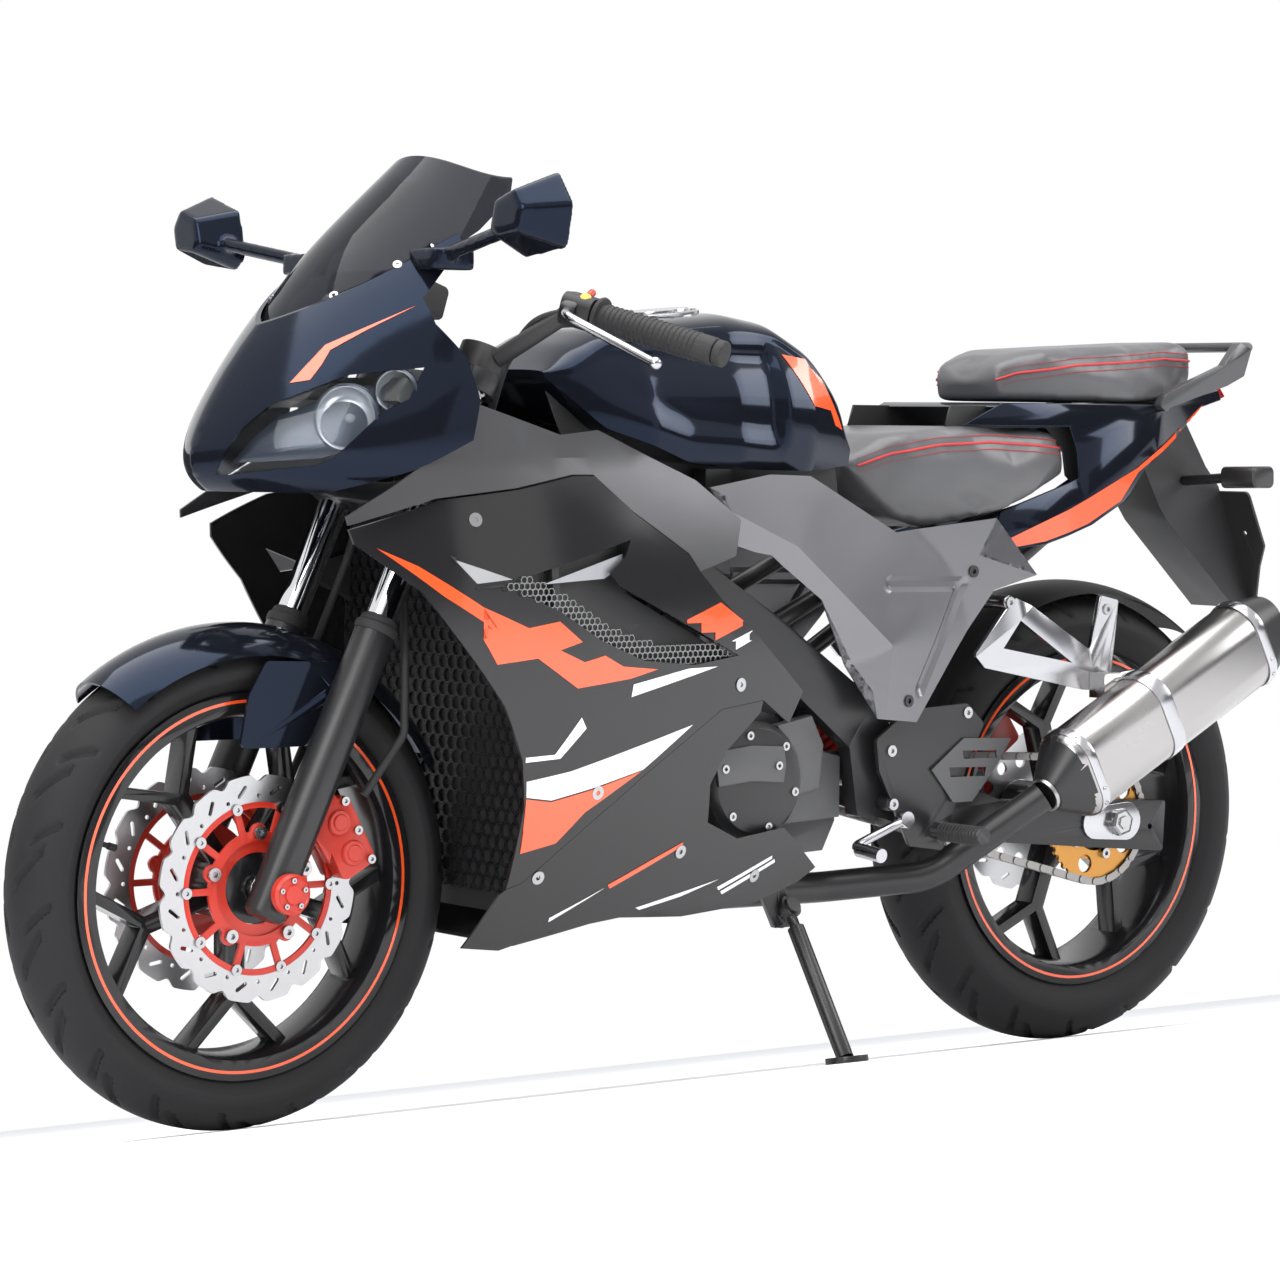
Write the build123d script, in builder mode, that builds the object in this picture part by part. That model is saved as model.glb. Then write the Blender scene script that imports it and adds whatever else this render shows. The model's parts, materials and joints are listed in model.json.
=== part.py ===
"""Sport motorcycle with a full fairing, parked on its side stand.

The machine is drawn upright: x forward from the rear axle, y to its left, z up from the
ground, in millimetres. Every piece is then leaned onto the stand and set down so that the
origin is on the floor, under the middle of the whole machine.
"""
import os
from math import asin, atan2, cos, degrees, radians, sin, tan

from build123d import *

# Chassis
wheelbase = 1330.0
rake = 25.0
trail = 95.0
lean = 11.0

# Wheels
front_tyre_radius = 293.0
front_tyre_half_width = 54.0
rear_tyre_radius = 310.0
rear_tyre_half_width = 66.0
rim_seat_radius = 216.0
rim_flange_height = 13.0
rim_barrel = 11.0
front_rim_half_width = 42.0
rear_rim_half_width = 54.0
hub_radius = 42.0
spoke_count = 5
spoke_width = 22.0
spoke_depth = 34.0
spoke_fork_radius = 128.0
spoke_spread = 19.0
axle_radius = 9.0
running_clearance = 0.05
fit_gap = 0.4

# Front fork and steering
fork_half_spacing = 97.0
stanchion_radius = 18.5
slider_radius = 25.0
slider_length = 330.0
lower_yoke_height = 800.0
yoke_spacing = 150.0
yoke_thickness = 26.0
yoke_wall = 12.0
fork_rise = 35.0
stem_radius = 14.0
head_tube_radius = 27.0
stand_pin_radius = 8.0

# Brakes
front_disc_radius = 134.0
front_disc_plane = 62.0
disc_thickness = 4.0
disc_waves = 16
disc_wave_depth = 5.0
disc_inner_radius = 102.0
carrier_inner_radius = 56.0
rear_disc_radius = 110.0
rear_disc_plane = 72.0

# Final drive
chain_pitch = 12.7
rear_teeth = 42
front_teeth = 15
chain_plane = 81.0
chain_plate = 1.6
chain_inner_gap = 7.0
sprocket_thickness = 5.0
front_sprocket_x = 505.0
front_sprocket_z = 388.0

# Body
panel_wall = 3.5
seam_gap = 0.6
screen_wall = 3.0
stand_foot_y = 255.0
stand_foot_x = 585.0
stand_pivot_x = 565.0
stand_pivot_y = 112.0
stand_pivot_z = 226.0
stand_leg_radius = 11.0
mudguard_wall = 3.0
mudguard_gap = 14.0
plate_hole_radius = 3.5
plate_hole_spacing = 140.0
spool_hole_radius = 4.0
spool_hole_depth = 16.0

rear_axle_z = rear_tyre_radius
front_axle_x = wheelbase
front_axle_z = front_tyre_radius
rim_flange_radius = rim_seat_radius + rim_flange_height
upper_yoke_height = lower_yoke_height + yoke_spacing
fork_top = upper_yoke_height + fork_rise
head_middle = (lower_yoke_height + yoke_thickness + upper_yoke_height) / 2

# The steering frame: its z runs up the steering axis, its x points forwards.
steering = Plane(
    origin=(wheelbase + trail, 0, 0),
    x_dir=(cos(radians(rake)), 0, sin(radians(rake))),
    z_dir=(-sin(radians(rake)), 0, cos(radians(rake))),
)
fork_offset = front_axle_z * sin(radians(rake)) - trail * cos(radians(rake))
axle_height = front_axle_z * cos(radians(rake)) + trail * sin(radians(rake))

pieces = {}


def keep(name, part):
    """Names a finished piece and keeps it for the export at the end."""
    part.label = name
    pieces[name] = part


def side_plane(y):
    """Drawing plane seen from the left: local x is forward, local y is up, extrusion goes inwards."""
    return Plane(origin=(0, y, 0), x_dir=(1, 0, 0), z_dir=(0, -1, 0))


def cross_plane(x):
    """Drawing plane across the machine: local x is to the left, local y is up."""
    return Plane(origin=(x, 0, 0), x_dir=(0, 1, 0), z_dir=(1, 0, 0))


def wheel_plane(x, z):
    """Plane through a wheel's axle: local x is the radius, local y runs along the axle."""
    return Plane(origin=(x, 0, z), x_dir=(1, 0, 0), z_dir=(0, 0, 1))


def side_plate(outline, outer, thickness, corner=0.0, both=True):
    """A plate with that side outline, from y = outer inwards, and its twin on the right."""
    with BuildPart() as plate:
        with BuildSketch(side_plane(outer)) as face:
            with BuildLine():
                Polyline(*outline, close=True)
            make_face()
            if corner:
                fillet(face.vertices(), corner)
        extrude(amount=thickness)
        if both:
            mirror(about=Plane.XZ)
    return plate.part


def bent_tube(points, bends, radius):
    """A round bar or pipe through the points, with its corners bent to the given radii."""
    with BuildPart() as tube:
        with BuildLine() as path:
            if bends:
                FilletPolyline(*points, radius=bends)
            else:
                Line(*points)
        with BuildSketch(Plane(origin=path.line @ 0, z_dir=path.line % 0)):
            Circle(radius)
        sweep()
    return tube.part


def arched_shell(axle_x, axle_z, inner, half, drop, start, end):
    """A thin curved guard over a wheel between two angles, sagging by drop at its sides."""
    turn = radians(start)
    section = Plane(
        origin=(axle_x, 0, axle_z), x_dir=(cos(turn), 0, sin(turn)), z_dir=(-sin(turn), 0, cos(turn)))
    edge = inner - drop
    outer_half = half + mudguard_wall
    with BuildPart() as shell:
        with BuildSketch(section):
            with BuildLine():
                ThreePointArc((edge, -half), (inner, 0), (edge, half))
                Line((edge, half), (edge, outer_half))
                ThreePointArc((edge, outer_half), (inner + mudguard_wall, 0), (edge, -outer_half))
                Line((edge, -outer_half), (edge, -half))
            make_face()
        revolve(axis=Axis((axle_x, 0, axle_z), (0, -1, 0)), revolution_arc=end - start)
    return shell.part


def along(start, end, radius):
    """A straight round bar from one point to another."""
    return bent_tube([start, end], None, radius)


# Tyres
# columns: name, axle x, axle z, outer radius, half width, shoulder radius, rim half width
tyre_table = [
    ("front_tyre", front_axle_x, front_axle_z, front_tyre_radius, front_tyre_half_width, 35.0,
     front_rim_half_width),
    ("rear_tyre", 0.0, rear_axle_z, rear_tyre_radius, rear_tyre_half_width, 42.0,
     rear_rim_half_width),
]
crown_radius = {}
for name, axle_x, axle_z, outer, half, crown_drop, rim_half in tyre_table:
    crown_radius[name] = (half**2 + crown_drop**2) / (2 * crown_drop)
    bead = rim_half - 6.5
    shoulder = outer - crown_drop
    bead_top = rim_flange_radius + fit_gap
    sidewall = (shoulder + bead_top) / 2
    with BuildPart() as tyre:
        with BuildSketch(wheel_plane(axle_x, axle_z)):
            with BuildLine():
                Polyline(
                    (bead_top, bead + 1.0), (rim_seat_radius + fit_gap, bead),
                    (rim_seat_radius + fit_gap, -bead), (bead_top, -bead - 1.0),
                )
                ThreePointArc((bead_top, -bead - 1.0), (sidewall, -half + 3.0), (shoulder, -half))
                ThreePointArc((shoulder, -half), (outer, 0), (shoulder, half))
                ThreePointArc((shoulder, half), (sidewall, half - 3.0), (bead_top, bead + 1.0))
            make_face()
        revolve(axis=Axis((axle_x, 0, axle_z), (0, 1, 0)))
    keep(name, tyre.part)

# Cast rims with forked spokes
# columns: name, axle x, axle z, rim half width, hub half width, lowest spoke's angle
rim_table = [
    ("front_rim", front_axle_x, front_axle_z, front_rim_half_width, 58.0, -90.0),
    ("rear_rim", 0.0, rear_axle_z, rear_rim_half_width, 76.0, -70.0),
]
for name, axle_x, axle_z, half, hub_half, first_angle in rim_table:
    inner = rim_seat_radius - rim_barrel
    with BuildPart() as rim:
        with BuildSketch(wheel_plane(axle_x, axle_z)):
            with BuildLine():
                Polyline(
                    (inner, -half), (rim_flange_radius, -half), (rim_flange_radius, -half + 4),
                    (rim_seat_radius, -half + 6), (rim_seat_radius, half - 6),
                    (rim_flange_radius, half - 4), (rim_flange_radius, half), (inner, half),
                    (inner - 6, half - 14), (inner - 6, 14 - half), close=True,
                )
            make_face()
        revolve(axis=Axis((axle_x, 0, axle_z), (0, 1, 0)))
        with BuildSketch(side_plane(hub_half)):
            with Locations((axle_x, axle_z)):
                Circle(hub_radius)
        extrude(amount=2 * hub_half)
        with BuildSketch(side_plane(spoke_depth / 2)):
            with Locations((axle_x, axle_z)):
                with PolarLocations(0, spoke_count, start_angle=first_angle):
                    with Locations(((hub_radius + spoke_fork_radius) / 2, 0)):
                        Rectangle(spoke_fork_radius - hub_radius + 20, spoke_width)
                    for turn in (-spoke_spread, spoke_spread):
                        tip = (inner * cos(radians(turn)), inner * sin(radians(turn)))
                        reach = (tip[0] - spoke_fork_radius, tip[1])
                        with Locations(Location(
                            ((tip[0] + spoke_fork_radius) / 2, tip[1] / 2),
                            degrees(atan2(reach[1], reach[0])),
                        )):
                            Rectangle((reach[0]**2 + reach[1]**2) ** 0.5 + 14, spoke_width * 0.62)
        extrude(amount=spoke_depth)
        with Locations(side_plane(0).location * Location((axle_x, axle_z, 0))):
            Cylinder(axle_radius + running_clearance, 4 * hub_half, mode=Mode.SUBTRACT)
    keep(name, rim.part)


def wave_disc(axle_x, axle_z, radius, inner, plane, both):
    """A brake disc with a wavy rim."""
    with BuildPart() as disc:
        with BuildSketch(side_plane(plane + disc_thickness / 2)):
            with Locations((axle_x, axle_z)):
                Circle(radius)
                with PolarLocations(radius + disc_wave_depth * 1.6, disc_waves):
                    Circle(disc_wave_depth * 2.6, mode=Mode.SUBTRACT)
                Circle(inner, mode=Mode.SUBTRACT)
        extrude(amount=disc_thickness)
        if both:
            mirror(about=Plane.XZ)
    return disc.part


keep("front_discs", wave_disc(
    front_axle_x, front_axle_z, front_disc_radius, disc_inner_radius, front_disc_plane, True))
rear_disc = wave_disc(0, rear_axle_z, rear_disc_radius, hub_radius + fit_gap, -rear_disc_plane, False)
keep("rear_disc", rear_disc)

# Disc carriers: an outer ring, an inner ring with bolt lugs, and arms between them
carrier_ring = 7.0
carrier_bolts = 5
carrier_bolt_circle = 66.0
with BuildPart() as carriers:
    with BuildSketch(side_plane(front_disc_plane + disc_thickness / 2)):
        with Locations((front_axle_x, front_axle_z)):
            Circle(disc_inner_radius - running_clearance)
            Circle(disc_inner_radius - carrier_ring, mode=Mode.SUBTRACT)
            Circle(carrier_inner_radius + 12)
            with PolarLocations(carrier_bolt_circle, carrier_bolts, start_angle=18):
                Circle(11)
            with PolarLocations((carrier_inner_radius + disc_inner_radius) / 2, 2 * carrier_bolts):
                Rectangle(disc_inner_radius - carrier_inner_radius - 6, 8)
            Circle(carrier_inner_radius, mode=Mode.SUBTRACT)
    extrude(amount=disc_thickness)
    with BuildSketch(side_plane(front_disc_plane - disc_thickness / 2)):
        with Locations((front_axle_x, front_axle_z)):
            Circle(carrier_inner_radius + 8)
            Circle(hub_radius + fit_gap, mode=Mode.SUBTRACT)
    extrude(amount=disc_thickness)
    mirror(about=Plane.XZ)
keep("disc_carriers", carriers.part)

# Rear sprocket: teeth, four windows and a centre ring on the hub
rear_pitch_radius = chain_pitch / (2 * sin(radians(180 / rear_teeth)))
front_pitch_radius = chain_pitch / (2 * sin(radians(180 / front_teeth)))
roller_radius = 4.0
sprocket_windows = 5
with BuildPart() as sprocket:
    with BuildSketch(side_plane(chain_plane + sprocket_thickness / 2)):
        with Locations((0, rear_axle_z)):
            Circle(rear_pitch_radius + 2.0)
            with PolarLocations(rear_pitch_radius + 2.5, rear_teeth):
                Circle(roller_radius, mode=Mode.SUBTRACT)
            with PolarLocations(rear_pitch_radius * 0.74, sprocket_windows):
                Circle(12, mode=Mode.SUBTRACT)
            Circle(hub_radius + fit_gap, mode=Mode.SUBTRACT)
    extrude(amount=sprocket_thickness)
    with BuildSketch(side_plane(chain_plane - sprocket_thickness / 2)):
        with Locations((0, rear_axle_z)):
            Circle(hub_radius + 14)
            Circle(hub_radius + fit_gap, mode=Mode.SUBTRACT)
    extrude(amount=chain_plane - sprocket_thickness / 2 - 60)
keep("rear_sprocket", sprocket.part)


# Chain: two side plates round both sprockets, tied by pins on the straight runs
def chain_loop(clear):
    """The chain's slope, its wrap angle, and the radii of its bends at both sprockets."""
    rise = front_sprocket_z - rear_axle_z
    run = (front_sprocket_x**2 + rise**2) ** 0.5
    slope = degrees(atan2(rise, front_sprocket_x))
    wrap = degrees(asin((rear_pitch_radius - front_pitch_radius) / run))
    return slope, wrap, rear_pitch_radius + clear, front_pitch_radius + clear


def on_circle(x, z, radius, angle):
    return (x + radius * cos(radians(angle)), z + radius * sin(radians(angle)))


def chain_band(clear):
    """The face inside the chain's outline at that distance from its pitch line."""
    slope, wrap, back, front = chain_loop(clear)
    top, bottom = slope + 90 - wrap, slope - 90 + wrap
    back_top = on_circle(0, rear_axle_z, back, top)
    front_top = on_circle(front_sprocket_x, front_sprocket_z, front, top)
    front_low = on_circle(front_sprocket_x, front_sprocket_z, front, bottom)
    back_low = on_circle(0, rear_axle_z, back, bottom)
    with BuildSketch() as band:
        with BuildLine():
            Line(back_top, front_top)
            ThreePointArc(
                front_top, on_circle(front_sprocket_x, front_sprocket_z, front, slope), front_low)
            Line(front_low, back_low)
            ThreePointArc(back_low, on_circle(0, rear_axle_z, back, slope + 180), back_top)
        make_face()
    return band.sketch


chain_half_height = 5.0
with BuildPart() as chain:
    for face_y in (chain_plane + chain_inner_gap / 2 + chain_plate, chain_plane - chain_inner_gap / 2):
        with BuildSketch(side_plane(face_y)):
            add(chain_band(chain_half_height))
            add(chain_band(-chain_half_height), mode=Mode.SUBTRACT)
        extrude(amount=chain_plate)
    slope, wrap, back, front = chain_loop(0)
    for side in (1, -1):
        start = on_circle(0, rear_axle_z, back, slope + side * (90 - wrap))
        end = on_circle(front_sprocket_x, front_sprocket_z, front, slope + side * (90 - wrap))
        for share in (0.3, 0.5, 0.7):
            spot = tuple(a + (b - a) * share for a, b in zip(start, end))
            with BuildSketch(side_plane(chain_plane + chain_inner_gap / 2 + chain_plate / 2)):
                with Locations(spot):
                    Circle(chain_half_height - 1)
            extrude(amount=chain_inner_gap + chain_plate)
keep("chain", chain.part)

# Front fork: stanchions, sliders with axle lugs, yokes on a stem
with BuildPart() as stanchions:
    with BuildSketch(steering.offset(axle_height + slider_length)):
        with Locations((fork_offset, fork_half_spacing), (fork_offset, -fork_half_spacing)):
            Circle(stanchion_radius)
    extrude(amount=fork_top - axle_height - slider_length)
keep("fork_tubes", stanchions.part)

slider_foot = 34.0
with BuildPart() as sliders:
    with BuildSketch(steering.offset(axle_height - slider_foot)):
        with Locations((fork_offset, fork_half_spacing), (fork_offset, -fork_half_spacing)):
            Circle(slider_radius)
    extrude(amount=slider_length + slider_foot)
    chamfer(sliders.edges().filter_by(GeomType.CIRCLE).group_by(Axis.Z)[0], 5)
    with Locations(side_plane(0).location * Location((front_axle_x, front_axle_z, 0))):
        Cylinder(axle_radius, 400, mode=Mode.SUBTRACT)
keep("fork_sliders", sliders.part)

axle_half_length = 128.0
axle_cap_radius = 17.0
with BuildPart() as front_axle:
    with Locations(side_plane(0).location * Location((front_axle_x, front_axle_z, 0))):
        Cylinder(axle_radius, 2 * axle_half_length)
        for side in (1, -1):
            with Locations((0, 0, side * (fork_half_spacing + slider_radius + 7))):
                Cylinder(axle_cap_radius, 13)
        spacer_start = 58.0 + fit_gap
        spacer_end = fork_half_spacing - slider_radius - fit_gap
        for side in (1, -1):
            with Locations((0, 0, side * (spacer_start + spacer_end) / 2)):
                Cylinder(axle_radius + 6, spacer_end - spacer_start)
keep("front_axle", front_axle.part)

with BuildPart() as yokes:
    for height in (lower_yoke_height, upper_yoke_height):
        with BuildSketch(steering.offset(height)):
            with BuildLine():
                Polyline(
                    (-stem_radius - yoke_wall, 0), (fork_offset - 18, fork_half_spacing + 24),
                    (fork_offset + 26, fork_half_spacing + 22), (fork_offset + 6, 0),
                    (fork_offset + 26, -fork_half_spacing - 22),
                    (fork_offset - 18, -fork_half_spacing - 24), close=True,
                )
            make_face()
            with Locations((fork_offset, fork_half_spacing), (fork_offset, -fork_half_spacing)):
                Circle(stanchion_radius + yoke_wall)
                Circle(stanchion_radius, mode=Mode.SUBTRACT)
        extrude(amount=yoke_thickness)
    with BuildSketch(steering.offset(lower_yoke_height - 8)):
        Circle(stem_radius)
    extrude(amount=upper_yoke_height - lower_yoke_height + 30)
    with BuildSketch(steering.offset(lower_yoke_height - 8)):
        Circle(stand_pin_radius)
    extrude(amount=40, mode=Mode.SUBTRACT)
keep("yokes", yokes.part)

# Handlebars: a clamp on each fork tube, a bar, the switch box; grips, levers beside them
grip_radius = 17.0
bar_radius = 11.0
bar_root = (fork_offset, fork_half_spacing)
grip_start = steering.from_local_coords(Vector(-19.6, 212, upper_yoke_height + 127.2))
grip_end = steering.from_local_coords(Vector(-99.0, 352, upper_yoke_height + 117.9))
grip_axis = (grip_end - grip_start).normalized()
bar_inner = steering.from_local_coords(
    Vector(fork_offset - 2, fork_half_spacing + 26, upper_yoke_height + 44))
clamp_height = 30.0
with BuildPart() as bars:
    with BuildSketch(steering.offset(upper_yoke_height + yoke_thickness)):
        with Locations(bar_root):
            Circle(stanchion_radius + yoke_wall)
    extrude(amount=clamp_height)
    with BuildSketch(steering.offset(upper_yoke_height)):
        with Locations(bar_root):
            Circle(stanchion_radius)
    extrude(amount=fork_top - upper_yoke_height, mode=Mode.SUBTRACT)
    bar_points = [tuple(bar_inner), tuple(grip_start - grip_axis * 34), tuple(grip_end)]
    add(bent_tube(bar_points, [30.0], bar_radius))
    with BuildSketch(Plane(origin=grip_start - grip_axis * 42, z_dir=grip_axis)):
        RectangleRounded(46, 40, 12)
    extrude(amount=40)
    mirror(about=Plane.XZ)
keep("handlebars", bars.part)

with BuildPart() as grips:
    with BuildSketch(Plane(origin=grip_start, z_dir=grip_axis)):
        Circle(grip_radius)
        Circle(bar_radius, mode=Mode.SUBTRACT)
    extrude(amount=(grip_end - grip_start).length)
    with BuildSketch(Plane(origin=grip_end + grip_axis * fit_gap, z_dir=grip_axis)):
        Circle(grip_radius - 1)
    extrude(amount=12)
    mirror(about=Plane.XZ)
keep("grips", grips.part)

lever_radius = 5.5
lever_root = grip_start - grip_axis * 22 + Vector(27.1, 4, 0)
with BuildPart() as hand_levers:
    add(bent_tube(
        [tuple(lever_root), tuple(lever_root + Vector(26, 34, -6)),
         tuple(grip_end + Vector(68, -28, -14))], [26.0], lever_radius))
    with Locations(grip_end + Vector(68, -28, -14)):
        Sphere(8)
    mirror(about=Plane.XZ)
keep("hand_levers", hand_levers.part)

# Front mudguard: a thin shell over the tyre with an ear down to each slider
guard_inner = front_tyre_radius + mudguard_gap
guard_front_angle = 52.0
guard_rear_angle = 152.0
guard_half = 64.0
guard_drop = 34.0
with BuildPart() as mudguard:
    add(arched_shell(
        front_axle_x, front_axle_z, guard_inner, guard_half, guard_drop, guard_front_angle, guard_rear_angle))
    ear = [(1214, 556), (1322, 560), (1346, 520), (1358, 458), (1268, 458), (1226, 510)]
    for outer in (guard_half + mudguard_wall, -guard_half + 1.0):
        with BuildSketch(side_plane(outer)) as ear_face:
            with BuildLine():
                Polyline(*ear, close=True)
            make_face()
            fillet(ear_face.vertices(), 8)
        extrude(amount=mudguard_wall + 1.0)
    for side in (1, -1):
        ear_face_y = side * (guard_half + mudguard_wall - 1)
        slider_face_y = side * (fork_half_spacing - slider_radius - 0.3)
        add(along((1233, ear_face_y, 520), (1233, slider_face_y, 520), 9.0))
keep("front_mudguard", mudguard.part)

# Brake calipers: a block that straddles each disc, with lugs to the slider
caliper_angle = 152.0
caliper_size = (92.0, 52.0)
caliper_reach = front_disc_radius - 14.0
caliper_in = 40.0
caliper_out = 88.0
with BuildPart() as calipers:
    spot = on_circle(front_axle_x, front_axle_z, caliper_reach, caliper_angle)
    with BuildSketch(side_plane(caliper_out)) as block_face:
        with Locations(Location(spot, caliper_angle - 90)):
            Rectangle(*caliper_size)
        fillet(block_face.vertices(), 9)
    extrude(amount=caliper_out - caliper_in)
    lug_root = steering.from_local_coords(Vector(fork_offset, 0, axle_height + 110))
    with BuildSketch(side_plane(caliper_out)):
        with BuildLine():
            Polyline((spot[0] + 8, spot[1] + 44), (lug_root.X - 22, lug_root.Z + 26),
                     (lug_root.X - 8, lug_root.Z - 28), (spot[0] + 22, spot[1] - 30), close=True)
        make_face()
    extrude(amount=12)
    with BuildSketch(side_plane(front_disc_plane + disc_thickness / 2 + 2.0)):
        with Locations((front_axle_x, front_axle_z)):
            Circle(front_disc_radius + 4)
    extrude(amount=disc_thickness + 4.0, mode=Mode.SUBTRACT)
    mirror(about=Plane.XZ)
    add(pieces["fork_sliders"], mode=Mode.SUBTRACT)
keep("brake_calipers", calipers.part)


def steer_side(y):
    """Side drawing plane in the steering frame: local x ahead of the axis, local y along it."""
    return Plane(origin=(wheelbase + trail, y, 0), x_dir=steering.x_dir, z_dir=(0, -1, 0))


def slab(outline, half, shrink=0.0):
    """A side outline, shrunk by a gap, extruded equally to both sides of the middle plane."""
    with BuildPart() as block:
        with BuildSketch(side_plane(half)):
            with BuildLine():
                Polyline(*outline, close=True)
            make_face()
            if shrink:
                offset(amount=-shrink, kind=Kind.INTERSECTION)
        extrude(amount=2 * half)
    return block.part


def cross_bar(x, z, radius, half):
    """A round bar across the machine."""
    return along((x, -half, z), (x, half, z), radius)


def boss_pair(x, z, radius, start, end):
    """Two round bosses between the distances start and end from the middle plane."""
    with BuildPart() as bosses:
        add(along((x, start, z), (x, end, z), radius))
        mirror(about=Plane.XZ)
    return bosses.part


def common(first, second):
    """What two solids share."""
    with BuildPart() as shared:
        add(first)
        add(second, mode=Mode.INTERSECT)
    return shared.part


def less(first, *others):
    """A solid with others taken out of it."""
    with BuildPart() as rest:
        add(first)
        for other in others:
            add(other, mode=Mode.SUBTRACT)
    return rest.part


# Brake hoses from the calipers up to the lower yoke
with BuildPart() as hoses:
    add(bent_tube(
        [(1196, 84, 398), (1150, 100, 470), (1150, 100, 560), (1128, 62, 668), (1115, 42, 739)],
        [24.0, 40.0, 40.0], 5.0))
    mirror(about=Plane.XZ)
    add(pieces["brake_calipers"], mode=Mode.SUBTRACT)
keep("brake_hoses", less(hoses.part, pieces["yokes"]))

# Main frame: head tube, two spars with swing-arm plates, cross members
swing_pivot_x = 430.0
swing_pivot_z = 390.0
spar_outer = 128.0
spar_inner = 104.0
gusset_reach = 86.0
gusset = steering.from_local_coords(Vector(-gusset_reach, 0, head_middle))
# The spars' front corners, seen from the gusset behind the head tube
head_corners = [(-12, 51.6), (28, 46.6), (39.6, 1.6), (39.6, -33.4), (13, -43.4)]
spar = [(gusset.X + ahead, gusset.Z + above) for ahead, above in head_corners] + [
    (800, 625), (600, 525), (480, 430), (465, 340), (400, 335), (390, 430), (440, 490), (600, 600),
    (800, 720),
]
with BuildPart() as frame:
    add(side_plate(spar, spar_outer, spar_outer - spar_inner, 6.0))
    with BuildSketch(steering.offset(lower_yoke_height + yoke_thickness + 1.0)):
        Circle(head_tube_radius)
    extrude(amount=upper_yoke_height - lower_yoke_height - yoke_thickness - 2.0)
    with BuildSketch(steer_side(26.0)):
        with Locations((-45, head_middle)):
            Rectangle(90, 96)
    extrude(amount=52.0)
    with BuildSketch(steer_side(spar_outer)):
        with Locations((-gusset_reach, head_middle)):
            Rectangle(46, 84)
    extrude(amount=2 * spar_outer)
    add(cross_bar(505, 508, 14.0, spar_inner))
    add(cross_bar(swing_pivot_x, swing_pivot_z, axle_radius, spar_outer))
    for face_y in (spar_outer, -spar_inner):
        with BuildSketch(side_plane(face_y)):
            with Locations((700, 720.5)):
                Rectangle(40, 131)
        extrude(amount=spar_outer - spar_inner)
    with BuildSketch(steering.offset(lower_yoke_height)):
        Circle(stem_radius + running_clearance)
    extrude(amount=upper_yoke_height - lower_yoke_height, mode=Mode.SUBTRACT)
keep("main_frame", frame.part)

# Subframe behind the spars
subframe_radius = 12.0
upper_rail = [(610, 91.6, 575), (400, 91.6, 672), (100, 85, 740), (-130, 70, 850)]
lower_rail = [(470, 91.6, 480), (200, 88, 640), (-60, 78, 800)]
with BuildPart() as subframe:
    add(bent_tube(upper_rail, [60.0, 60.0], subframe_radius))
    add(bent_tube(lower_rail, [60.0], subframe_radius))
    mirror(about=Plane.XZ)
    add(cross_bar(400, 672, 9.0, 91.6))
    add(cross_bar(-126, 848, 9.0, 70.0))
keep("subframe", subframe.part)

# Engine: crankcase, inclined cylinder, gearbox sprocket
crankcase_half = 100.0
gearbox_half = 70.0
crankcase = [(575, 300), (590, 288), (760, 285), (800, 330), (800, 440), (740, 480), (640, 490), (575, 470)]
gearbox = [(455, 330), (475, 292), (580, 288), (580, 472), (490, 420), (458, 400)]
cylinder = [(752, 434), (634, 470), (746, 685), (864, 611)]
head_cover = [(760, 668), (846, 614), (868, 652), (782, 706)]
with BuildPart() as engine:
    add(slab(crankcase, crankcase_half))
    add(slab(gearbox, gearbox_half))
    add(slab(cylinder, 80.0))
    add(slab(head_cover, 68.0))
    for start_y, end_y, radius in (
        (gearbox_half, 90, 10.0),
        (chain_plane - sprocket_thickness / 2, chain_plane + sprocket_thickness / 2, front_pitch_radius - 1),
    ):
        shaft_start = (front_sprocket_x, start_y, front_sprocket_z)
        shaft_end = (front_sprocket_x, end_y, front_sprocket_z)
        add(along(shaft_start, shaft_end, radius))
keep("engine", engine.part)

generator_x = 645.0
generator_z = 395.0
cover_outer = 148.0
sprocket_cover_face = 116.0
with BuildPart() as covers:
    with BuildSketch(side_plane(cover_outer)):
        with Locations((generator_x, generator_z)):
            Circle(75)
    extrude(amount=cover_outer - crankcase_half - fit_gap)
    chamfer(covers.edges().filter_by(GeomType.CIRCLE).group_by(Axis.Y)[-1], 9)
    with BuildSketch(side_plane(sprocket_cover_face)):
        with BuildLine():
            Polyline((486, 340), (590, 335), (590, 440), (530, 428), (486, 418), close=True)
        make_face()
    extrude(amount=sprocket_cover_face - crankcase_half - fit_gap)
    with BuildSketch(side_plane(-crankcase_half - fit_gap)):
        with Locations((610, 400)):
            Circle(80)
    extrude(amount=42)
    chamfer(covers.edges().filter_by(GeomType.CIRCLE).group_by(Axis.Y)[0], 8)
keep("engine_covers", covers.part)

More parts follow.
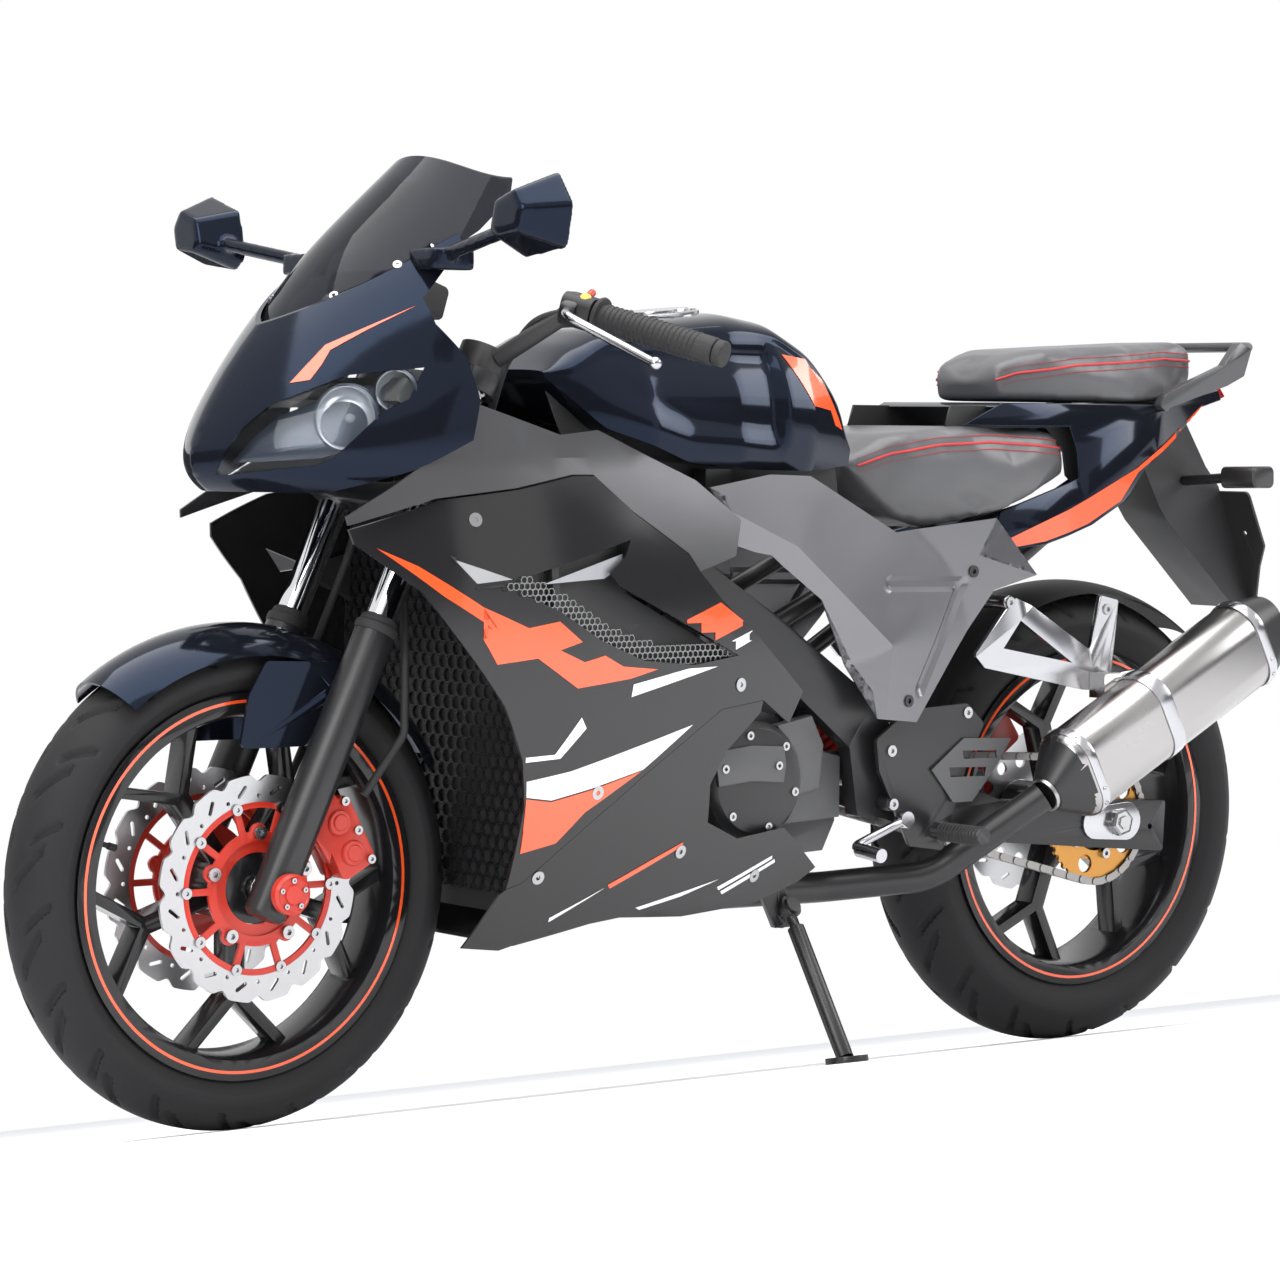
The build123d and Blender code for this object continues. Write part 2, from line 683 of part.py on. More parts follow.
# Exhaust: one pipe under the engine to a silencer on the left
pipe_radius = 20.0
pipe_points = [
    (849, 0, 586), (925, 8, 545), (945, 50, 300), (880, 50, 246), (470, 62, 243), (340, 128, 256),
    (212, 203, 360),
]
exhaust = bent_tube(pipe_points, [50.0, 70.0, 50.0, 90.0, 90.0], pipe_radius)
keep("exhaust_pipe", less(exhaust, pieces["engine"]))
muffler_start = Vector(165, 205, 385)
muffler_end = Vector(-160, 205, 555)
muffler_axis = (muffler_end - muffler_start).normalized()
muffler_width = 88.0
muffler_height = 122.0
muffler_cap = 46.0
with BuildPart() as muffler:
    muffler_face = Plane(origin=muffler_start, x_dir=(0, 1, 0), z_dir=tuple(muffler_axis))
    with BuildSketch(muffler_face):
        RectangleRounded(muffler_width, muffler_height, 40)
    extrude(amount=(muffler_end - muffler_start).length)
    with BuildSketch(muffler_face):
        RectangleRounded(muffler_width, muffler_height, 40)
    with BuildSketch(muffler_face.offset(-46.0)):
        RectangleRounded(2 * pipe_radius + 10, 2 * pipe_radius + 10, 24)
    loft()
    end_face = Plane(origin=muffler_end, x_dir=(0, 1, 0), z_dir=tuple(muffler_axis))
    with BuildSketch(end_face):
        RectangleRounded(muffler_width, muffler_height, 40)
    with BuildSketch(end_face.offset(muffler_cap)):
        RectangleRounded(muffler_width - 26, muffler_height - 34, 28)
    loft()
    with BuildSketch(end_face.offset(muffler_cap)):
        Circle(20)
    extrude(amount=-60, mode=Mode.SUBTRACT)
    with BuildSketch(side_plane(180)):
        with Locations((66, 500)):
            Rectangle(30, 34)
    extrude(amount=29.4)
keep("muffler", less(muffler.part, pieces["exhaust_pipe"]))

# Swing arm, rear axle, shock absorber, rear caliper
arm_inner = 92.0
arm_outer = 120.0
pivot_side = spar_inner - 0.6
arm_outline = [
    (-95, 334), (42, 340), (205, 348), (330, 388), (420, 416), (452, 402), (446, 368), (330, 338),
    (205, 292), (-91, 265),
]
arm_doubler = [
    (-95, 334), (42, 340), (205, 348), (330, 388), (376, 402), (376, 350), (330, 338), (205, 292), (-91, 265),
]
with BuildPart() as swingarm:
    add(side_plate(arm_outline, pivot_side, pivot_side - arm_inner, 5.0))
    add(side_plate(arm_doubler, arm_outer, arm_outer - arm_inner, 5.0))
    with BuildSketch(side_plane(arm_inner + 2)):
        with Locations((351, 361)):
            Rectangle(42, 44)
    extrude(amount=2 * arm_inner + 4)
    add(cross_bar(swing_pivot_x, swing_pivot_z, 17.0, pivot_side))
    with Locations(side_plane(0).location * Location((0, rear_axle_z, 0))):
        Cylinder(axle_radius, 300, mode=Mode.SUBTRACT)
    with Locations(side_plane(0).location * Location((swing_pivot_x, swing_pivot_z, 0))):
        Cylinder(axle_radius, 300, mode=Mode.SUBTRACT)
    for face_y in (arm_outer, -arm_outer + spool_hole_depth):
        with BuildSketch(side_plane(face_y)):
            with Locations((-66, 300)):
                Circle(spool_hole_radius)
        extrude(amount=spool_hole_depth, mode=Mode.SUBTRACT)
keep("swingarm", swingarm.part)

with BuildPart() as rear_axle:
    with Locations(side_plane(0).location * Location((0, rear_axle_z, 0))):
        Cylinder(axle_radius, 276)
        for side in (1, -1):
            with Locations((0, 0, side * (arm_outer + 6 + fit_gap))):
                Cylinder(axle_cap_radius, 12)
            with Locations((0, 0, side * (76 + arm_inner) / 2)):
                Cylinder(axle_radius + 6, arm_inner - 76 - 2 * fit_gap)
keep("rear_axle", rear_axle.part)

with BuildPart() as shock:
    foot = Vector(358, 0, 384)
    top = Vector(497, 0, 497)
    reach = (top - foot).normalized()
    add(along(tuple(foot), tuple(top - reach * 4), 9.0))
    add(along(tuple(foot + reach * 26), tuple(foot + reach * 146), 27.0))
keep("shock_absorber", less(shock.part, pieces["main_frame"], pieces["swingarm"]))

with BuildPart() as rear_caliper:
    with BuildSketch(side_plane(-58)) as block_face:
        with Locations(Location((58, 408), -35)):
            Rectangle(80, 46)
        fillet(block_face.vertices(), 8)
    extrude(amount=33.4)
    with BuildSketch(side_plane(-arm_inner + 8)):
        with BuildLine():
            Polyline((30, 325), (100, 325), (92, 430), (40, 420), close=True)
        make_face()
    extrude(amount=8 - fit_gap)
    with BuildSketch(side_plane(-rear_disc_plane + disc_thickness / 2 + 2)):
        with Locations((0, rear_axle_z)):
            Circle(rear_disc_radius + 5)
    extrude(amount=disc_thickness + 4, mode=Mode.SUBTRACT)
keep("rear_caliper", rear_caliper.part)

# Hugger over the rear tyre, on tabs from the swing arm's brace
hugger_inner = rear_tyre_radius + 11.0
hugger_front_angle = 25.0
hugger_rear_angle = 128.0
hugger_half = 71.0
hugger_drop = 16.0
with BuildPart() as hugger:
    add(arched_shell(
        0, rear_axle_z, hugger_inner, hugger_half, hugger_drop, hugger_front_angle, hugger_rear_angle))
    tab = [(282, 432), (334, 384), (366, 384), (302, 470), (278, 455)]
    for tab_y in (62, -42):
        with BuildSketch(side_plane(tab_y)):
            with BuildLine():
                Polyline(*tab, close=True)
            make_face()
        extrude(amount=20)
    with BuildSketch(side_plane(90)):
        with Locations((0, rear_axle_z)):
            Circle(hugger_inner - hugger_drop + 2)
    extrude(amount=180, mode=Mode.SUBTRACT)
keep("hugger", less(hugger.part, pieces["swingarm"]))

# Flanks of the fairing: smooth hulls, cut into panels by side outlines
# columns: x, how far the flank stands inside its widest place
flank_stations = [(500, 74.0), (760, 22.0), (980, 2.0), (1120, 10.0), (1290, 80.0)]
shoulder_stations = [(500, 74.0), (760, 22.0), (980, 2.0), (1150, 3.0), (1320, 34.0)]
# columns: z, half width at the widest station
flank_low, flank_mid, flank_high = (190, 154.0), (600, 231.0), (800, 197.0)
panel_top = 880.0
half_body = 260.0


def flank(inset, stations):
    """The solid between both flanks, its sides moved in by that much."""
    with BuildPart() as hull:
        for x, pull in stations:
            low = flank_low[1] - pull - inset
            middle = flank_mid[1] - pull - inset
            high = flank_high[1] - pull - inset
            with BuildSketch(cross_plane(x)):
                with BuildLine():
                    ThreePointArc((low, flank_low[0]), (middle, flank_mid[0]), (high, flank_high[0]))
                    Polyline(
                        (high, flank_high[0]), (high - 4, panel_top), (4 - high, panel_top),
                        (-high, flank_high[0]))
                    ThreePointArc((-high, flank_high[0]), (-middle, flank_mid[0]), (-low, flank_low[0]))
                    Line((-low, flank_low[0]), (low, flank_low[0]))
                make_face()
        loft()
    return hull.part


def one_side(part, side):
    """The left (1) or right (-1) half of a part."""
    with BuildPart() as half:
        with Locations((600, side * 500, 600)):
            Box(2400, 1000, 2000)
        add(part, mode=Mode.INTERSECT)
    return half.part


flank_outer = flank(0.0, flank_stations)
flank_wall = less(flank_outer, flank(panel_wall, flank_stations))
shoulder_wall = less(
    flank(panel_wall + seam_gap, shoulder_stations), flank(2 * panel_wall + seam_gap, shoulder_stations))
seam = [
    (679, 501), (753, 493), (800, 465), (873, 420), (953, 364), (994, 333), (1042, 294), (1062, 288),
]
panel_front = [
    (1059, 326), (1055, 388), (1064, 444), (1091, 507), (1123, 550), (1159, 597), (1194, 644), (1262, 698),
]
panel_upper = [
    (1266, 715), (1162, 750), (1060, 762), (977, 778), (945, 778), (890, 733), (803, 681), (787, 660),
    (752, 626), (690, 580), (604, 509), (628, 470),
]
vent = [
    (1094, 651), (901, 702), (910, 683), (937, 664), (925, 648), (726, 558), (802, 549), (888, 557),
    (955, 583), (1015, 618),
]
signal = [(1155, 682), (1077, 657), (1127, 652)]
belly_rest = [
    (1069, 282), (1105, 217), (1053, 211), (983, 230), (877, 240), (770, 233), (640, 240), (560, 262),
    (530, 278), (612, 336), (699, 328), (757, 352), (762, 400), (740, 440), (683, 486),
]
gray_panel = [
    (1290, 731), (1198, 783), (1126, 819), (1115, 864), (990, 827), (931, 833), (777, 773), (706, 724),
    (721, 680), (786, 662), (802, 684), (889, 736), (944, 780), (977, 780), (1063, 764), (1176, 752),
    (1288, 721),
]
side_panel = less(
    common(flank_wall, slab(seam + panel_front + panel_upper, half_body)),
    slab(vent, half_body), slab(signal, half_body))
gray_boss = common(
    boss_pair(840, 725, 8.0, spar_outer + fit_gap, half_body),
    flank(panel_wall + seam_gap, shoulder_stations))
with BuildPart() as gray_pair:
    add(common(shoulder_wall, slab(gray_panel, half_body)))
    add(gray_boss)
for side, hand in ((1, "left"), (-1, "right")):
    keep(f"side_fairing_{hand}", one_side(side_panel, side))
    keep(f"inner_panel_{hand}", one_side(gray_pair.part, side))
keep("front_indicators", common(flank_wall, slab(signal, half_body, seam_gap)))

belly_seam = [(x, z - seam_gap) for x, z in seam]
belly_floor = [(925, 235.4), (1034, 215.6), (1034, 220), (925, 240)]
with BuildPart() as belly:
    add(common(flank_wall, slab(belly_rest + belly_seam, half_body)))
    add(common(flank_outer, slab(belly_floor, half_body)))
keep("belly_pan", belly.part)

# Radiator grille across the front, between the flanks
grille_front = 1022.0
with BuildPart() as grille:
    with BuildSketch(cross_plane(grille_front - 10)):
        with Locations((0, 498)):
            Rectangle(500, 494)
    extrude(amount=10)
    add(flank(panel_wall + 0.5, flank_stations), mode=Mode.INTERSECT)
keep("cowl_grille", less(
    grille.part, pieces["inner_panel_left"], pieces["inner_panel_right"], pieces["main_frame"],
    pieces["belly_pan"]))

# Nose: level sections of one hull
# columns: z, nose x, middle x, middle half width, rear x, rear half width
nose_levels = [
    (757, 1362, 1262, 140, 1105, 196),
    (800, 1386, 1266, 160, 1105, 206),
    (850, 1368, 1240, 168, 1105, 207),
    (905, 1334, 1206, 166, 1105, 200),
    (965, 1286, 1170, 156, 1085, 184),
    (1022, 1232, 1126, 143, 1050, 168),
    (1078, 1174, 1084, 130, 1010, 152),
]


def nose_hull(inset, back):
    """The solid inside the nose, shrunk by inset and lengthened backwards by back."""
    with BuildPart() as hull:
        for z, nose, middle, half, rear, rear_half in nose_levels:
            with BuildSketch(Plane.XY.offset(z)):
                with BuildLine():
                    left = (rear, rear_half - inset)
                    right = (rear, inset - rear_half)
                    ThreePointArc((nose - inset, 0), (middle - inset / 2, half - inset), left)
                    Polyline(left, (rear - back, rear_half - inset), (rear - back, inset - rear_half), right)
                    ThreePointArc(right, (middle - inset / 2, inset - half), (nose - inset, 0))
                make_face()
        loft()
    return hull.part


# Screen: level sections that are round in front and straight behind
# columns: z, middle of the round front, its radius
screen_levels = [(930, 1110, 176), (1025, 1080, 140), (1100, 1031, 114), (1172, 976, 90)]


def screen_hull(inset, back):
    """The solid behind the screen, shrunk by inset and lengthened backwards by back."""
    with BuildPart() as hull:
        for z, middle, radius in screen_levels:
            half = radius - inset
            with BuildSketch(Plane.XY.offset(z)):
                with BuildLine():
                    ThreePointArc((middle, half), (middle + half, 0), (middle, -half))
                    Polyline((middle, -half), (middle - back, -half), (middle - back, half), (middle, half))
                make_face()
        loft()
    return hull.part


nose_wall = less(nose_hull(0.0, 60.0), nose_hull(panel_wall, 80.0))
screen_shell = less(screen_hull(0.0, 40.0), screen_hull(screen_wall, 60.0))
cowl_top = [(1300, 951), (1098, 1064)]
cowl_mask = [
    (1290, 754), (1198, 785), (1128, 820), (1117, 867), (1129, 917), (1156, 955), (1161, 986), (1143, 1004),
    (1119, 1029), (1098, 1046), *reversed(cowl_top), (1430, 887), (1430, 750),
]
screen_tuck = 14.0
screen_mask = [
    (cowl_top[0][0], cowl_top[0][1] - screen_tuck), (1064, 1083 - screen_tuck), (1010, 1110), (985, 1175),
    (1110, 1175), (1330, 950),
]
screen_top, screen_corner_z, screen_corner_y = 1162.0, 1132.0, 105.0
# The lamps' outline, drawn in a plane turned this far from the side towards the front
lamp_turn = 37.4
lamp = [
    (-1071, 775), (-1059, 802), (-1038, 832), (-1006, 859), (-917, 894), (-828, 904), (-845, 867),
    (-873, 853), (-931, 797), (-950, 790),
]
lamp_inner_edge = 12.0
lamp_near, lamp_far = 640.0, 1000.0


def lamp_block(shrink):
    """Both lamp openings, shrunk by a gap."""
    turn = radians(lamp_turn)
    view = Plane(origin=(0, 0, 0), x_dir=(-cos(turn), sin(turn), 0), z_dir=(sin(turn), cos(turn), 0))
    with BuildPart() as block:
        with BuildSketch(view.offset(lamp_near)):
            with BuildLine():
                Polyline(*lamp, close=True)
            make_face()
            if shrink:
                offset(amount=-shrink, kind=Kind.INTERSECTION)
        extrude(amount=lamp_far - lamp_near)
        with Locations((1200, lamp_inner_edge + shrink - half_body, 850)):
            Box(1200, 2 * half_body, 600, mode=Mode.SUBTRACT)
        mirror(about=Plane.XZ)
    return block.part


keep("upper_cowl", less(common(nose_wall, slab(cowl_mask, half_body)), lamp_block(0.0)))
keep("headlamps", common(nose_wall, lamp_block(seam_gap)))

# The screen's lower edge is screwed inside the cowl, over short posts
# columns: x, y, z of each post on the left
screen_posts = [(1236, 62, 980), (1172, 104, 1014), (1132, 120, 1036)]
post_radius = 5.0
with BuildPart() as screen:
    add(common(screen_shell, slab(screen_mask, half_body)))
    with BuildSketch(cross_plane(900)):
        with BuildLine():
            ThreePointArc(
                (-screen_corner_y, screen_corner_z), (0, screen_top), (screen_corner_y, screen_corner_z))
            Polyline(
                (screen_corner_y, screen_corner_z), (2 * screen_corner_y, 1080), (2 * screen_corner_y, 900),
                (-2 * screen_corner_y, 900), (-2 * screen_corner_y, 1080),
                (-screen_corner_y, screen_corner_z))
        make_face()
    extrude(amount=500, mode=Mode.INTERSECT)
screen_seat = less(nose_hull(panel_wall + fit_gap, 60.0), screen_hull(screen_wall / 2, 60.0))
with BuildPart() as posts:
    for x, y, z in screen_posts:
        outward = Vector(x - 1080, y, 0).normalized()
        spot = Vector(x, y, z)
        add(along(tuple(spot - outward * 20), tuple(spot + outward * 30), post_radius))
    mirror(about=Plane.XZ)
cowl_room = less(slab(cowl_mask, half_body, -fit_gap), nose_hull(panel_wall + fit_gap, 60.0))
with BuildPart() as windscreen:
    add(less(screen.part, cowl_room))
    add(common(posts.part, screen_seat))
keep("windscreen", windscreen.part)

# Fairing stay: an arm from the head tube, a beam across the nose, a post for the instruments
with BuildPart() as stay:
    with BuildSketch(steer_side(18)):
        with Locations((100, head_middle)):
            Rectangle(150, 30)
    extrude(amount=36)
    with BuildSketch(steer_side(230)):
        with Locations((164, head_middle)):
            Rectangle(20, 30)
    extrude(amount=460)
    with BuildSketch(side_plane(18)):
        with BuildLine():
            Polyline((1188, 880), (1208, 880), (1152, 985), (1120, 985), close=True)
        make_face()
    extrude(amount=36)
    add(nose_hull(panel_wall + 0.5, 60.0), mode=Mode.INTERSECT)
keep("fairing_stay", less(stay.part, pieces["main_frame"]))
with BuildPart() as instruments:
    with BuildSketch(side_plane(78)) as dial_face:
        with BuildLine():
            Polyline((1086, 960), (1152, 986), (1140, 1024), (1074, 1000), close=True)
        make_face()
        fillet(dial_face.vertices(), 8)
    extrude(amount=156)
keep("instruments", less(instruments.part, pieces["fairing_stay"]))

# Mirrors on stalks, with their glasses
mirror_outline = [(288, 1044), (304, 1104), (376, 1127), (405, 1088), (394, 1038), (312, 1028)]
mirror_middle = (347, 1077)
mirror_back = 1130.0
mirror_front = 1186.0
mirror_pocket = 5.0


def mirror_shrunk(share):
    """The mirror's outline, shrunk about its middle."""
    middle_y, middle_z = mirror_middle
    return [(middle_y + (y - middle_y) * share, middle_z + (z - middle_z) * share) for y, z in mirror_outline]


with BuildPart() as mirrors:
    with BuildSketch(cross_plane(mirror_back)) as housing_back:
        with BuildLine():
            Polyline(*mirror_outline, close=True)
        make_face()
        fillet(housing_back.vertices(), 9)
    with BuildSketch(cross_plane(mirror_front)) as housing_front:
        with BuildLine():
            Polyline(*mirror_shrunk(0.54), close=True)
        make_face()
        fillet(housing_front.vertices(), 5)
    loft()
    with BuildSketch(cross_plane(mirror_back)):
        with BuildLine():
            Polyline(*mirror_shrunk(0.9), close=True)
        make_face()
    extrude(amount=mirror_pocket, mode=Mode.SUBTRACT)
    add(along((1132, 138, 1034), (1152, 310, 1062), 9.0))
    with Locations((1128, 138, 1032)):
        Box(60, 56, 26)
    add(nose_hull(-0.4, 60.0), mode=Mode.SUBTRACT)
    mirror(about=Plane.XZ)
keep("mirrors", mirrors.part)
with BuildPart() as glasses:
    with BuildSketch(cross_plane(mirror_back + 1)):
        with BuildLine():
            Polyline(*mirror_shrunk(0.89), close=True)
        make_face()
    extrude(amount=mirror_pocket - 1 - fit_gap)
    mirror(about=Plane.XZ)
keep("mirror_glasses", glasses.part)

# Fuel tank with its hinged cap
# columns: x, half width at the bottom, half width at the widest, half width near the top
tank_stations = [
    (440, 96, 104, 78), (560, 128, 146, 104), (680, 138, 164, 122), (820, 128, 158, 112), (960, 74, 96, 64),
]
tank_side = [
    (948, 905), (900, 938), (860, 957), (774, 972), (660, 985), (600, 976), (548, 942), (505, 890),
    (475, 826), (473, 790), (549, 783), (640, 784), (760, 792), (880, 834), (935, 880),
]
cap_x = 706.0
cap_z = 979.5
cap_radius = 44.0
cap_plane = Plane(origin=(cap_x, 0, cap_z), x_dir=(0.9936, 0, -0.1131), z_dir=(0.1131, 0, 0.9936))
hinge_reach = 51.0
hinge_rise = 6.0
hinge_pin_radius = 2.0


def hinge_bar(half, radius):
    """A round bar on the cap's hinge line."""
    ends = [tuple(cap_plane.from_local_coords(Vector(hinge_reach, y, hinge_rise))) for y in (-half, half)]
    return along(*ends, radius)


with BuildPart() as tank:
    for x, low, wide, high in tank_stations:
        with BuildSketch(cross_plane(x)):
            with BuildLine():
                Line((-low, 770), (low, 770))
                ThreePointArc((low, 770), (wide, 862), (high, 950))
                ThreePointArc((high, 950), (0, 996), (-high, 950))
                ThreePointArc((-high, 950), (-wide, 862), (-low, 770))
            make_face()
    loft()
    add(slab(tank_side, half_body), mode=Mode.INTERSECT)
    with BuildSketch(cap_plane.offset(-4.6)):
        Circle(cap_radius + 0.6)
    extrude(amount=30, mode=Mode.SUBTRACT)
    for side in (1, -1):
        ear_start = cap_plane.from_local_coords(Vector(0, side * 19, 0))
        with BuildSketch(Plane(origin=ear_start, x_dir=cap_plane.x_dir, z_dir=(0, -side, 0))):
            with Locations((hinge_reach, side * 2.0)):
                Rectangle(9, 14)
        extrude(amount=8)
    add(hinge_bar(18, hinge_pin_radius))
keep("fuel_tank", tank.part)
with BuildPart() as cap:
    with BuildSketch(cap_plane.offset(-4)):
        Circle(cap_radius)
    extrude(amount=10)
    with BuildSketch(cap_plane.offset(3)):
        with Locations((hinge_reach / 2 + 20, 0)):
            Rectangle(hinge_reach - 40, 20)
    extrude(amount=5)
    add(hinge_bar(10, hinge_pin_radius + 2.4))
    add(hinge_bar(12, hinge_pin_radius + 0.35), mode=Mode.SUBTRACT)
keep("fuel_cap", cap.part)

# Seats: a side outline narrowed by a plan outline
def cushion(side_outline, plan_outline, corner):
    """A cushion with that side view and that half plan view."""
    with BuildPart() as pad:
        add(slab(side_outline, half_body))
        with BuildSketch(Plane.XY.offset(500)):
            with BuildLine():
                Polyline(*plan_outline, *[(x, -y) for x, y in reversed(plan_outline)], close=True)
            make_face()
        extrude(amount=600, mode=Mode.INTERSECT)
        middle_z = pad.part.bounding_box().center().Z
        top_edges = pad.edges().filter_by(lambda edge: edge.center().Z > middle_z + 8)
        fillet(top_edges.filter_by(lambda edge: abs(edge.center().Y) > 40), corner)
    return pad.part


seat_side = [
    (466, 793), (394, 830), (291, 840), (112, 836), (86, 812), (80, 776), (218, 732), (349, 708), (392, 718),
]
seat_plan = [(466, 84), (380, 120), (280, 140), (150, 128), (79, 104)]
keep("rider_seat", cushion(seat_side, seat_plan, 9.0))
pillion_side = [
    (171, 875.3), (179, 905), (176, 928), (112, 944), (-168, 960), (-192, 950), (-190, 902), (-96, 875.3),
]
pillion_plan = [(180, 62), (110, 94), (-30, 104), (-193, 66)]
keep("pillion_seat", cushion(pillion_side, pillion_plan, 9.0))

# Tail: hollow, open below, closed behind
tail_side = [
    (286, 843), (216, 874.4), (-100, 874.8), (-250, 897), (-258, 883), (-201, 872), (-59, 786), (-23, 745),
    (50, 712), (141, 686), (239, 676), (217.8, 731.4), (79.4, 775.6), (85.2, 813), (100, 843),
]
tail_plan = [(290, 118), (100, 126), (-100, 100), (-258, 52)]
tail_inset = [(295, 114.4), (100, 122.4), (-100, 96.4), (-254, 48)]
with BuildPart() as tail:
    add(slab(tail_side, half_body))
    with BuildSketch(Plane.XY.offset(500)):
        with BuildLine():
            Polyline(*tail_plan, *[(x, -y) for x, y in reversed(tail_plan)], close=True)
        make_face()
    extrude(amount=600, mode=Mode.INTERSECT)
    with BuildSketch(Plane.XY.offset(500)):
        with BuildLine():
            Polyline(*tail_inset, *[(x, -y) for x, y in reversed(tail_inset)], close=True)
        make_face()
    extrude(amount=368, mode=Mode.SUBTRACT)
    add(boss_pair(100, 740, 9.0, 97.4, 124.0))
keep("tail_cowl", less(tail.part, pieces["subframe"]))
with BuildPart() as tail_lamp:
    with BuildSketch(side_plane(46)):
        with BuildLine():
            Polyline((-258.6, 883), (-250.6, 897), (-262, 900), (-272, 888), close=True)
        make_face()
    extrude(amount=92)
keep("tail_lamp", less(tail_lamp.part, pieces["tail_cowl"]))

# Grab rails joined behind the pillion seat
rail = [(-76, 872), (-90, 890), (-200, 930), (-228, 962), (-252, 954), (-238, 916), (-205, 902), (-86, 868)]
with BuildPart() as rails:
    add(side_plate(rail, 115.0, 14.0, 5.0))
    loop = [(-240, 104, 955), (-278, 84, 957), (-278, -84, 957), (-240, -104, 955)]
    add(bent_tube(loop, [14.0, 14.0], 7.0))
    add(boss_pair(-96, 872, 6.0, 99.0, 108.0))
keep("grab_rails", less(rails.part, pieces["tail_cowl"]))

# Rear guard with the number-plate board
guard_arm = [
    (-96, 846), (-104, 815), (-150, 735), (-166, 714), (-300, 592), (-334, 592), (-292, 697), (-266, 762),
    (-240, 790), (-196, 856),
]
with BuildPart() as rear_guard:
    add(slab(guard_arm, 42.0))
    board = Plane(origin=(-291, 0, 697), x_dir=(0, -1, 0), z_dir=(-0.93, 0, 0.3676))
    with BuildSketch(board) as board_face:
        with BuildLine():
            Polyline(
                (-96, 62), (96, 62), (100, -20), (80, -52), (52, -112), (-52, -112), (-80, -52), (-100, -20),
                close=True)
        make_face()
        fillet(board_face.vertices(), 8)
        with Locations((plate_hole_spacing / 2, 0), (-plate_hole_spacing / 2, 0)):
            Circle(plate_hole_radius, mode=Mode.SUBTRACT)
    extrude(amount=4)
keep("rear_mudguard", less(
    rear_guard.part, pieces["tail_cowl"], cross_bar(-126, 848, 9.0 + fit_gap, 60.0)))
with BuildPart() as rear_signals:
    add(along((-196, 42.4, 770), (-214, 120, 776), 7.0))
    with BuildSketch(Plane(origin=(-214, 116, 776), z_dir=(-0.1, 1, 0.02))):
        RectangleRounded(46, 30, 9)
    extrude(amount=58)
    mirror(about=Plane.XZ)
keep("rear_indicators", less(rear_signals.part, pieces["rear_mudguard"]))

# Frame covers below the tank and seat
cover_outline = [
    (750, 764), (647, 780), (579, 778), (431, 706), (254, 723), (284, 675), (181, 648), (257, 629),
    (325, 553), (401, 462), (472, 469), (478, 505), (563, 622), (645, 679), (669, 683), (701, 692),
    (726, 754),
]
cover_face = 165.0
with BuildPart() as frame_covers:
    add(side_plate(cover_outline, cover_face, 4.0, 3.0))
    add(boss_pair(450, 482, 10.0, spar_outer + fit_gap, cover_face - 2))
    add(boss_pair(400, 672, 10.0, 104.2, cover_face - 2))
    add(boss_pair(300, 694, 9.0, 101.6, cover_face - 2))
cover_solid = less(
    frame_covers.part, pieces["inner_panel_left"], pieces["inner_panel_right"], pieces["subframe"])
for side, hand in ((1, "left"), (-1, "right")):
    keep(f"frame_cover_{hand}", one_side(cover_solid, side))

# Footrests: rider's hangers with pegs, foot levers, pillion brackets
hanger = [
    (270, 455), (300, 482), (400, 476), (455, 440), (450, 400), (396, 300), (340, 292), (322, 340),
    (300, 400),
]
hanger_face = 152.0
peg_radius = 11.0
with BuildPart() as footrests:
    add(side_plate(hanger, hanger_face, 6.0, 6.0))
    add(boss_pair(430, 425, 9.0, spar_outer + fit_gap, hanger_face - 2))
    add(boss_pair(426, 356, 9.0, spar_outer + fit_gap, hanger_face - 2))
    add(boss_pair(352, 318, peg_radius, hanger_face - 2, 245.0))
keep("footrests", footrests.part)
with BuildPart() as foot_levers:
    add(bent_tube([(412, 159, 336), (506, 168, 306), (506, 222, 300)], [14.0], 6.0))
    add(along((506, 180, 304), (506, 224, 300), 9.0))
    add(along((412, 152.4, 336), (412, 166, 336), 11.0))
    mirror(about=Plane.XZ)
keep("foot_levers", foot_levers.part)
bracket = [
    (215, 618), (186, 607), (80, 546), (63, 619), (29, 612), (42, 491), (88, 493), (268, 527), (286, 544),
    (234, 602),
]
bracket_face = 150.0
with BuildPart() as pillion_rests:
    add(side_plate(bracket, bracket_face, 6.0, 4.0))
    with BuildSketch(side_plane(200)):
        with BuildLine():
            Polyline((112, 530), (236, 552), (206, 588), close=True)
        make_face()
    extrude(amount=400, mode=Mode.SUBTRACT)
    add(boss_pair(226, 612, 9.0, 100.4, bracket_face - 2))
    add(along((70, 148, 500), (0, 168, 512), 10.0))
    add(along((70, -148, 500), (0, -168, 512), 10.0))
keep("pillion_footrests", less(pillion_rests.part, pieces["subframe"], pieces["muffler"]))

# Side stand: its hinge axis lets the leg swing back and up under the engine
stand_pivot = Vector(stand_pivot_x, stand_pivot_y, stand_pivot_z)
mean_crown = (crown_radius["front_tyre"] + crown_radius["rear_tyre"]) / 2
floor_drop = mean_crown * (1 / cos(radians(lean)) - 1)
stand_foot = Vector(stand_foot_x, stand_foot_y, stand_foot_y * tan(radians(lean)) - floor_drop)
leg = stand_foot - stand_pivot
stand_axis = Vector(-0.10, 0.80, 0.59).normalized()
stand_eye_radius = 15.0
eye_half = 7.0
pin_radius = 7.0
foot_thickness = 8.0
bracket_plate_face = 110.0


def stand_bar(start, end, radius):
    """A round bar on the stand's hinge line."""
    return along(tuple(stand_pivot + stand_axis * start), tuple(stand_pivot + stand_axis * end), radius)


